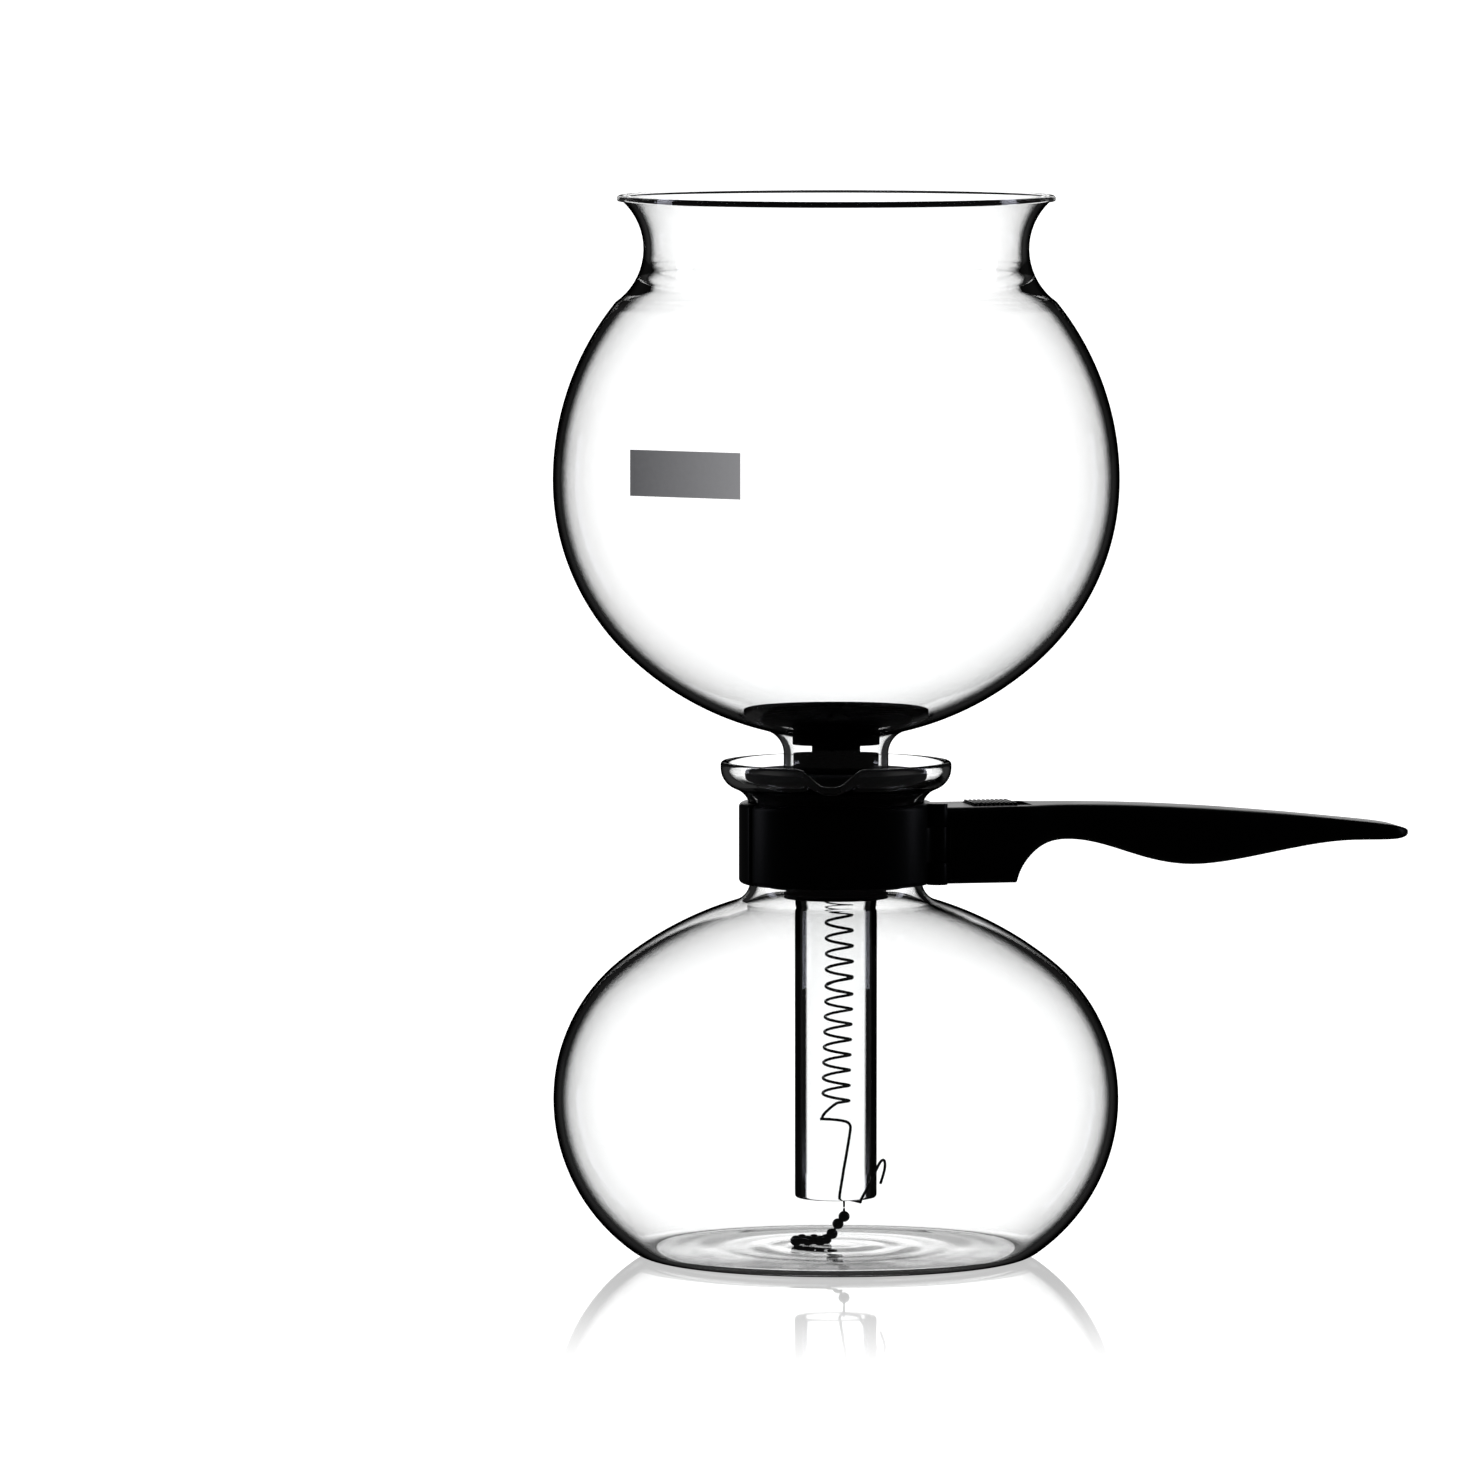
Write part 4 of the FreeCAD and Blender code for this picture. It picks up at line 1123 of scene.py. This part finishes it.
@dataclass
class SpringSet:
    """Long soft spring in the stem, its hook under the stem's rim and the bead chain."""

    wire: float = 0.42
    coil: float = 3.9
    pitch: float = 4.5
    turns: int = 20
    end_turn: float = 0.25
    steps_per_turn: int = 20
    top_z: float = 136.0
    foot_z: float = 40.57
    lean: float = 1.0
    lead: float = 3.0
    plane: float = PHOTO_AZIMUTH
    stem: float = STEM_RADIUS
    stem_end: float = STEM_END_Z
    rim_gap: float = 0.15
    hairpin_top: float = 28.5
    chain_nodes: tuple[str, ...] = ("chain_ring", "chain_beads", "chain_pins")

    def coil_points(self) -> list[Vector]:
        """Line of the spring from the post down to the hook's bar.

        Returns:
            The line's points, in metres.
        """
        start = math.radians(self.plane + 180)
        coil_top = self.top_z - 2 * self.wire - self.lead
        points = [self.on_coil(start, self.top_z), self.on_coil(start, self.top_z - 2 * self.wire)]
        steps = int((self.turns - 2 * self.end_turn) * self.steps_per_turn)
        for step in range(steps + 1):
            wound = step / self.steps_per_turn
            angle = start + 2 * math.pi * (self.end_turn + wound)
            points.append(self.on_coil(angle, coil_top - self.pitch * wound))
        points.append(self.on_coil(start, self.foot_z + 2 * self.wire))
        points.append(self.on_coil(start, self.foot_z))
        return points

    def on_coil(self, angle: float, height: float) -> Vector:
        """Point on the spring's slightly bowed cylinder.

        Args:
            angle: its turn about the axis, in radians.
            height: its height, in millimetres.

        Returns:
            The point, in metres.
        """
        share = (self.top_z - height) / (self.top_z - self.foot_z)
        shift = self.lean * math.sin(math.pi * share) ** 2
        turn = math.radians(self.plane)
        x = self.coil * math.cos(angle) + shift * math.cos(turn)
        y = self.coil * math.sin(angle) + shift * math.sin(turn)
        return Vector((x, y, height)) * MM

    def hook_points(self) -> list[Vector]:
        """Line of the hook: bar under the spring, long tail, run under the stem's rim, hairpin outside it.

        Returns:
            The line's points, in metres.
        """
        bar = self.foot_z - self.wire
        out = self.stem + self.rim_gap + self.wire
        low = self.stem_end - self.rim_gap - self.wire
        top = self.hairpin_top
        # Each row is a reach from the axis, a swing about it in degrees and a height.
        tail = [
            (-4.6, 0, bar), (-2.0, 0, bar), (3.0, 0, bar - 0.6), (4.2, 0, bar - 1.6),
            (4.3, 0, bar - 3.2), (2.2, 0, low + 8.0), (0.9, 0, low + 1.6), (1.4, 0, low + 0.3),
        ]
        run = [
            (3.4, -6, low), (out - 2.0, -48, low), (out - 0.4, -54, low + 0.1), (out + 0.1, -55, low + 1.0),
        ]
        hairpin = [
            (out + 0.4, -40, top - 6.5), (out + 0.7, -18, top - 1.0), (out + 1.4, -8, top),
            (out + 1.9, -3, top - 1.0), (out + 1.8, -5, top - 3.5), (out + 1.0, -16, top - 7.0),
        ]
        points = []
        for reach, swing, height in tail + run + hairpin:
            turn = math.radians(self.plane + swing)
            points.append(Vector((reach * math.cos(turn), reach * math.sin(turn), height)) * MM)
        return points

    def build(self) -> None:
        """Wind the spring and dress the hook and chain."""
        steel = DrawnMetal("drawn_spring_wire", roughness=0.26)
        spring = Bench.wire("spring_coil", self.coil_points(), self.wire * MM)
        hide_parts("filter_spring")
        Bench.dress(spring, steel, Slot.WIRE, None)
        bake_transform(spring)
        hook = Bench.wire("wire_hook", self.hook_points(), self.wire * MM)
        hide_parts("filter_hook")
        Bench.dress(hook, steel, Slot.WIRE, Body.FUNNEL)
        # Painted shade: the beads' metal colour is set nearly black too.
        bright = DrawnMetal("polished_beads", colour=(0.03, 0.03, 0.032), roughness=0.12)
        for node in self.chain_nodes:
            piece = Bench.refined_copy(node, 0.0)
            Bench.dress(piece, bright, Slot.BEAD, Body.FUNNEL)


@dataclass
class HandleSet:
    """Black collar, clasp, thumb slide and grip, with the clasp's steel pin."""

    edge: float = 0.4
    pad_edge: float = 0.12
    pin_edge: float = 0.15

    def build(self) -> None:
        """Dress the plastic pieces and the steel pin."""
        plastic = MouldedBlack("handle_black_plastic")
        pieces = [
            ("handle_body", Body.BASE, self.edge),
            ("front_clasp", Body.CLASP, self.edge),
            ("thumb_slide", Body.SLIDE, self.pad_edge),
        ]
        for node, body, edge in pieces:
            piece = Bench.refined_copy(node, edge * MM)
            Bench.dress(piece, plastic, Slot.HANDLE, body)
        pin = Bench.refined_copy("clasp_pin", self.pin_edge * MM)
        Bench.dress(pin, DrawnMetal("steel_pin"), Slot.STEEL, Body.BASE)


@dataclass
class Gasket:
    """Black rubber plug between funnel and carafe."""

    edge: float = 0.3

    def build(self) -> None:
        """Dress the rubber."""
        piece = Bench.refined_copy("funnel_gasket", self.edge * MM)
        rubber = MouldedBlack("black_rubber", roughness=0.75, gloss=0.01, grain=500.0)
        Bench.dress(piece, rubber, Slot.RUBBER, Body.FUNNEL)


@dataclass
class Studio:
    """White floor, white field behind, two soft side lights and the camera.

    Places and sizes are in metres, the lens and its sensor in millimetres.
    """

    azimuth: float = PHOTO_AZIMUTH
    pitch: float = 4.2
    distance: float = 3.7
    lens: float = 312.5
    sensor: float = 36.0
    farthest: float = 100.0
    aim_right: float = -0.0293
    aim_up: float = 0.152
    floor_radius: float = 14.0
    field_distance: float = 6.0
    field_width: float = 2.4
    field_height: float = 3.0
    light_aside: float = 1.1
    light_behind: float = 0.25
    light_z: float = 0.35
    light_width: float = 0.25
    light_height: float = 0.9
    light_power: float = 1.6
    light_colour: Colour = (0.85, 0.87, 1.0)
    light_aim_z: float = 0.12
    world_dim: float = 0.02

    def forward(self) -> Vector:
        """Level direction in which the camera looks."""
        turn = math.radians(self.azimuth)
        return Vector((-math.sin(turn), math.cos(turn), 0.0))

    def right(self) -> Vector:
        """Level direction to the picture's right."""
        ahead = self.forward()
        return Vector((ahead.y, -ahead.x, 0.0))

    def build(self) -> None:
        """Set up floor, field, light and camera."""
        self.add_floor()
        self.add_field()
        self.add_lights()
        self.add_world()
        self.add_camera()
        bpy.context.scene.view_settings.view_transform = "Standard"

    def add_floor(self) -> None:
        """Large round pale floor."""
        Bench.clear()
        bpy.ops.mesh.primitive_circle_add(vertices=96, radius=self.floor_radius, fill_type="NGON")
        floor = bpy.context.active_object
        floor.name = "pale_floor"
        Bench.add_finish(floor, PaleFloor("pale_floor_white"))

    def add_field(self) -> None:
        """White field standing well behind the object."""
        Bench.clear()
        bpy.ops.mesh.primitive_plane_add(
            size=1.0, location=self.forward() * self.field_distance + Vector((0, 0, self.field_height / 2)),
            rotation=(math.pi / 2, 0, math.radians(self.azimuth)))
        board = bpy.context.active_object
        board.name = "white_field"
        board.scale = (self.field_width, self.field_height, 1.0)
        Bench.add_finish(board, WhiteField("white_field_light"))

    def add_lights(self) -> None:
        """Two tall soft lights, one on each side."""
        target = Vector((0, 0, self.light_aim_z))
        for side, name in ((-1, "left_soft_light"), (1, "right_soft_light")):
            place = self.right() * side * self.light_aside + self.forward() * self.light_behind
            place.z = self.light_z
            Bench.clear()
            bpy.ops.object.light_add(type="AREA", location=place)
            light = bpy.context.active_object
            light.name = name
            light.data.shape = "RECTANGLE"
            light.data.size = self.light_width
            light.data.size_y = self.light_height
            light.data.energy = self.light_power
            light.data.color = self.light_colour
            light.rotation_euler = (target - place).to_track_quat("-Z", "Y").to_euler()

    def add_world(self) -> None:
        """White seen directly and through glass, dark all round for reflections."""
        world = bpy.data.worlds.new("studio_world")
        bpy.context.scene.world = world
        tree = ShaderTree(world)
        shade = tree.surroundings("ShaderNodeBackground", self.world_dim)
        tree.node("ShaderNodeOutputWorld", inputs={"Surface": shade})

    def add_camera(self) -> None:
        """Camera at the photographed angle and framing."""
        turn = math.radians(self.pitch)
        aim = self.right() * self.aim_right + Vector((0, 0, self.aim_up))
        back = -self.forward() * math.cos(turn) + Vector((0, 0, math.sin(turn)))
        Bench.clear()
        bpy.ops.object.camera_add(location=aim + back * self.distance)
        camera = bpy.context.active_object
        camera.name = "photo_camera"
        camera.rotation_euler = (-back).to_track_quat("-Z", "Y").to_euler()
        camera.data.lens = self.lens
        camera.data.sensor_width = self.sensor
        camera.data.clip_end = self.farthest
        bpy.context.scene.camera = camera


def main() -> None:
    """Build and dress every sub-assembly, then the studio, and log each dressed piece's face count."""
    logging.basicConfig(level=logging.INFO, format="%(name)s %(message)s")
    Carafe().build()
    Funnel().build()
    Gasket().build()
    FilterSet().build()
    SpringSet().build()
    HandleSet().build()
    Studio().build()


if __name__ == "__main__":
    main()
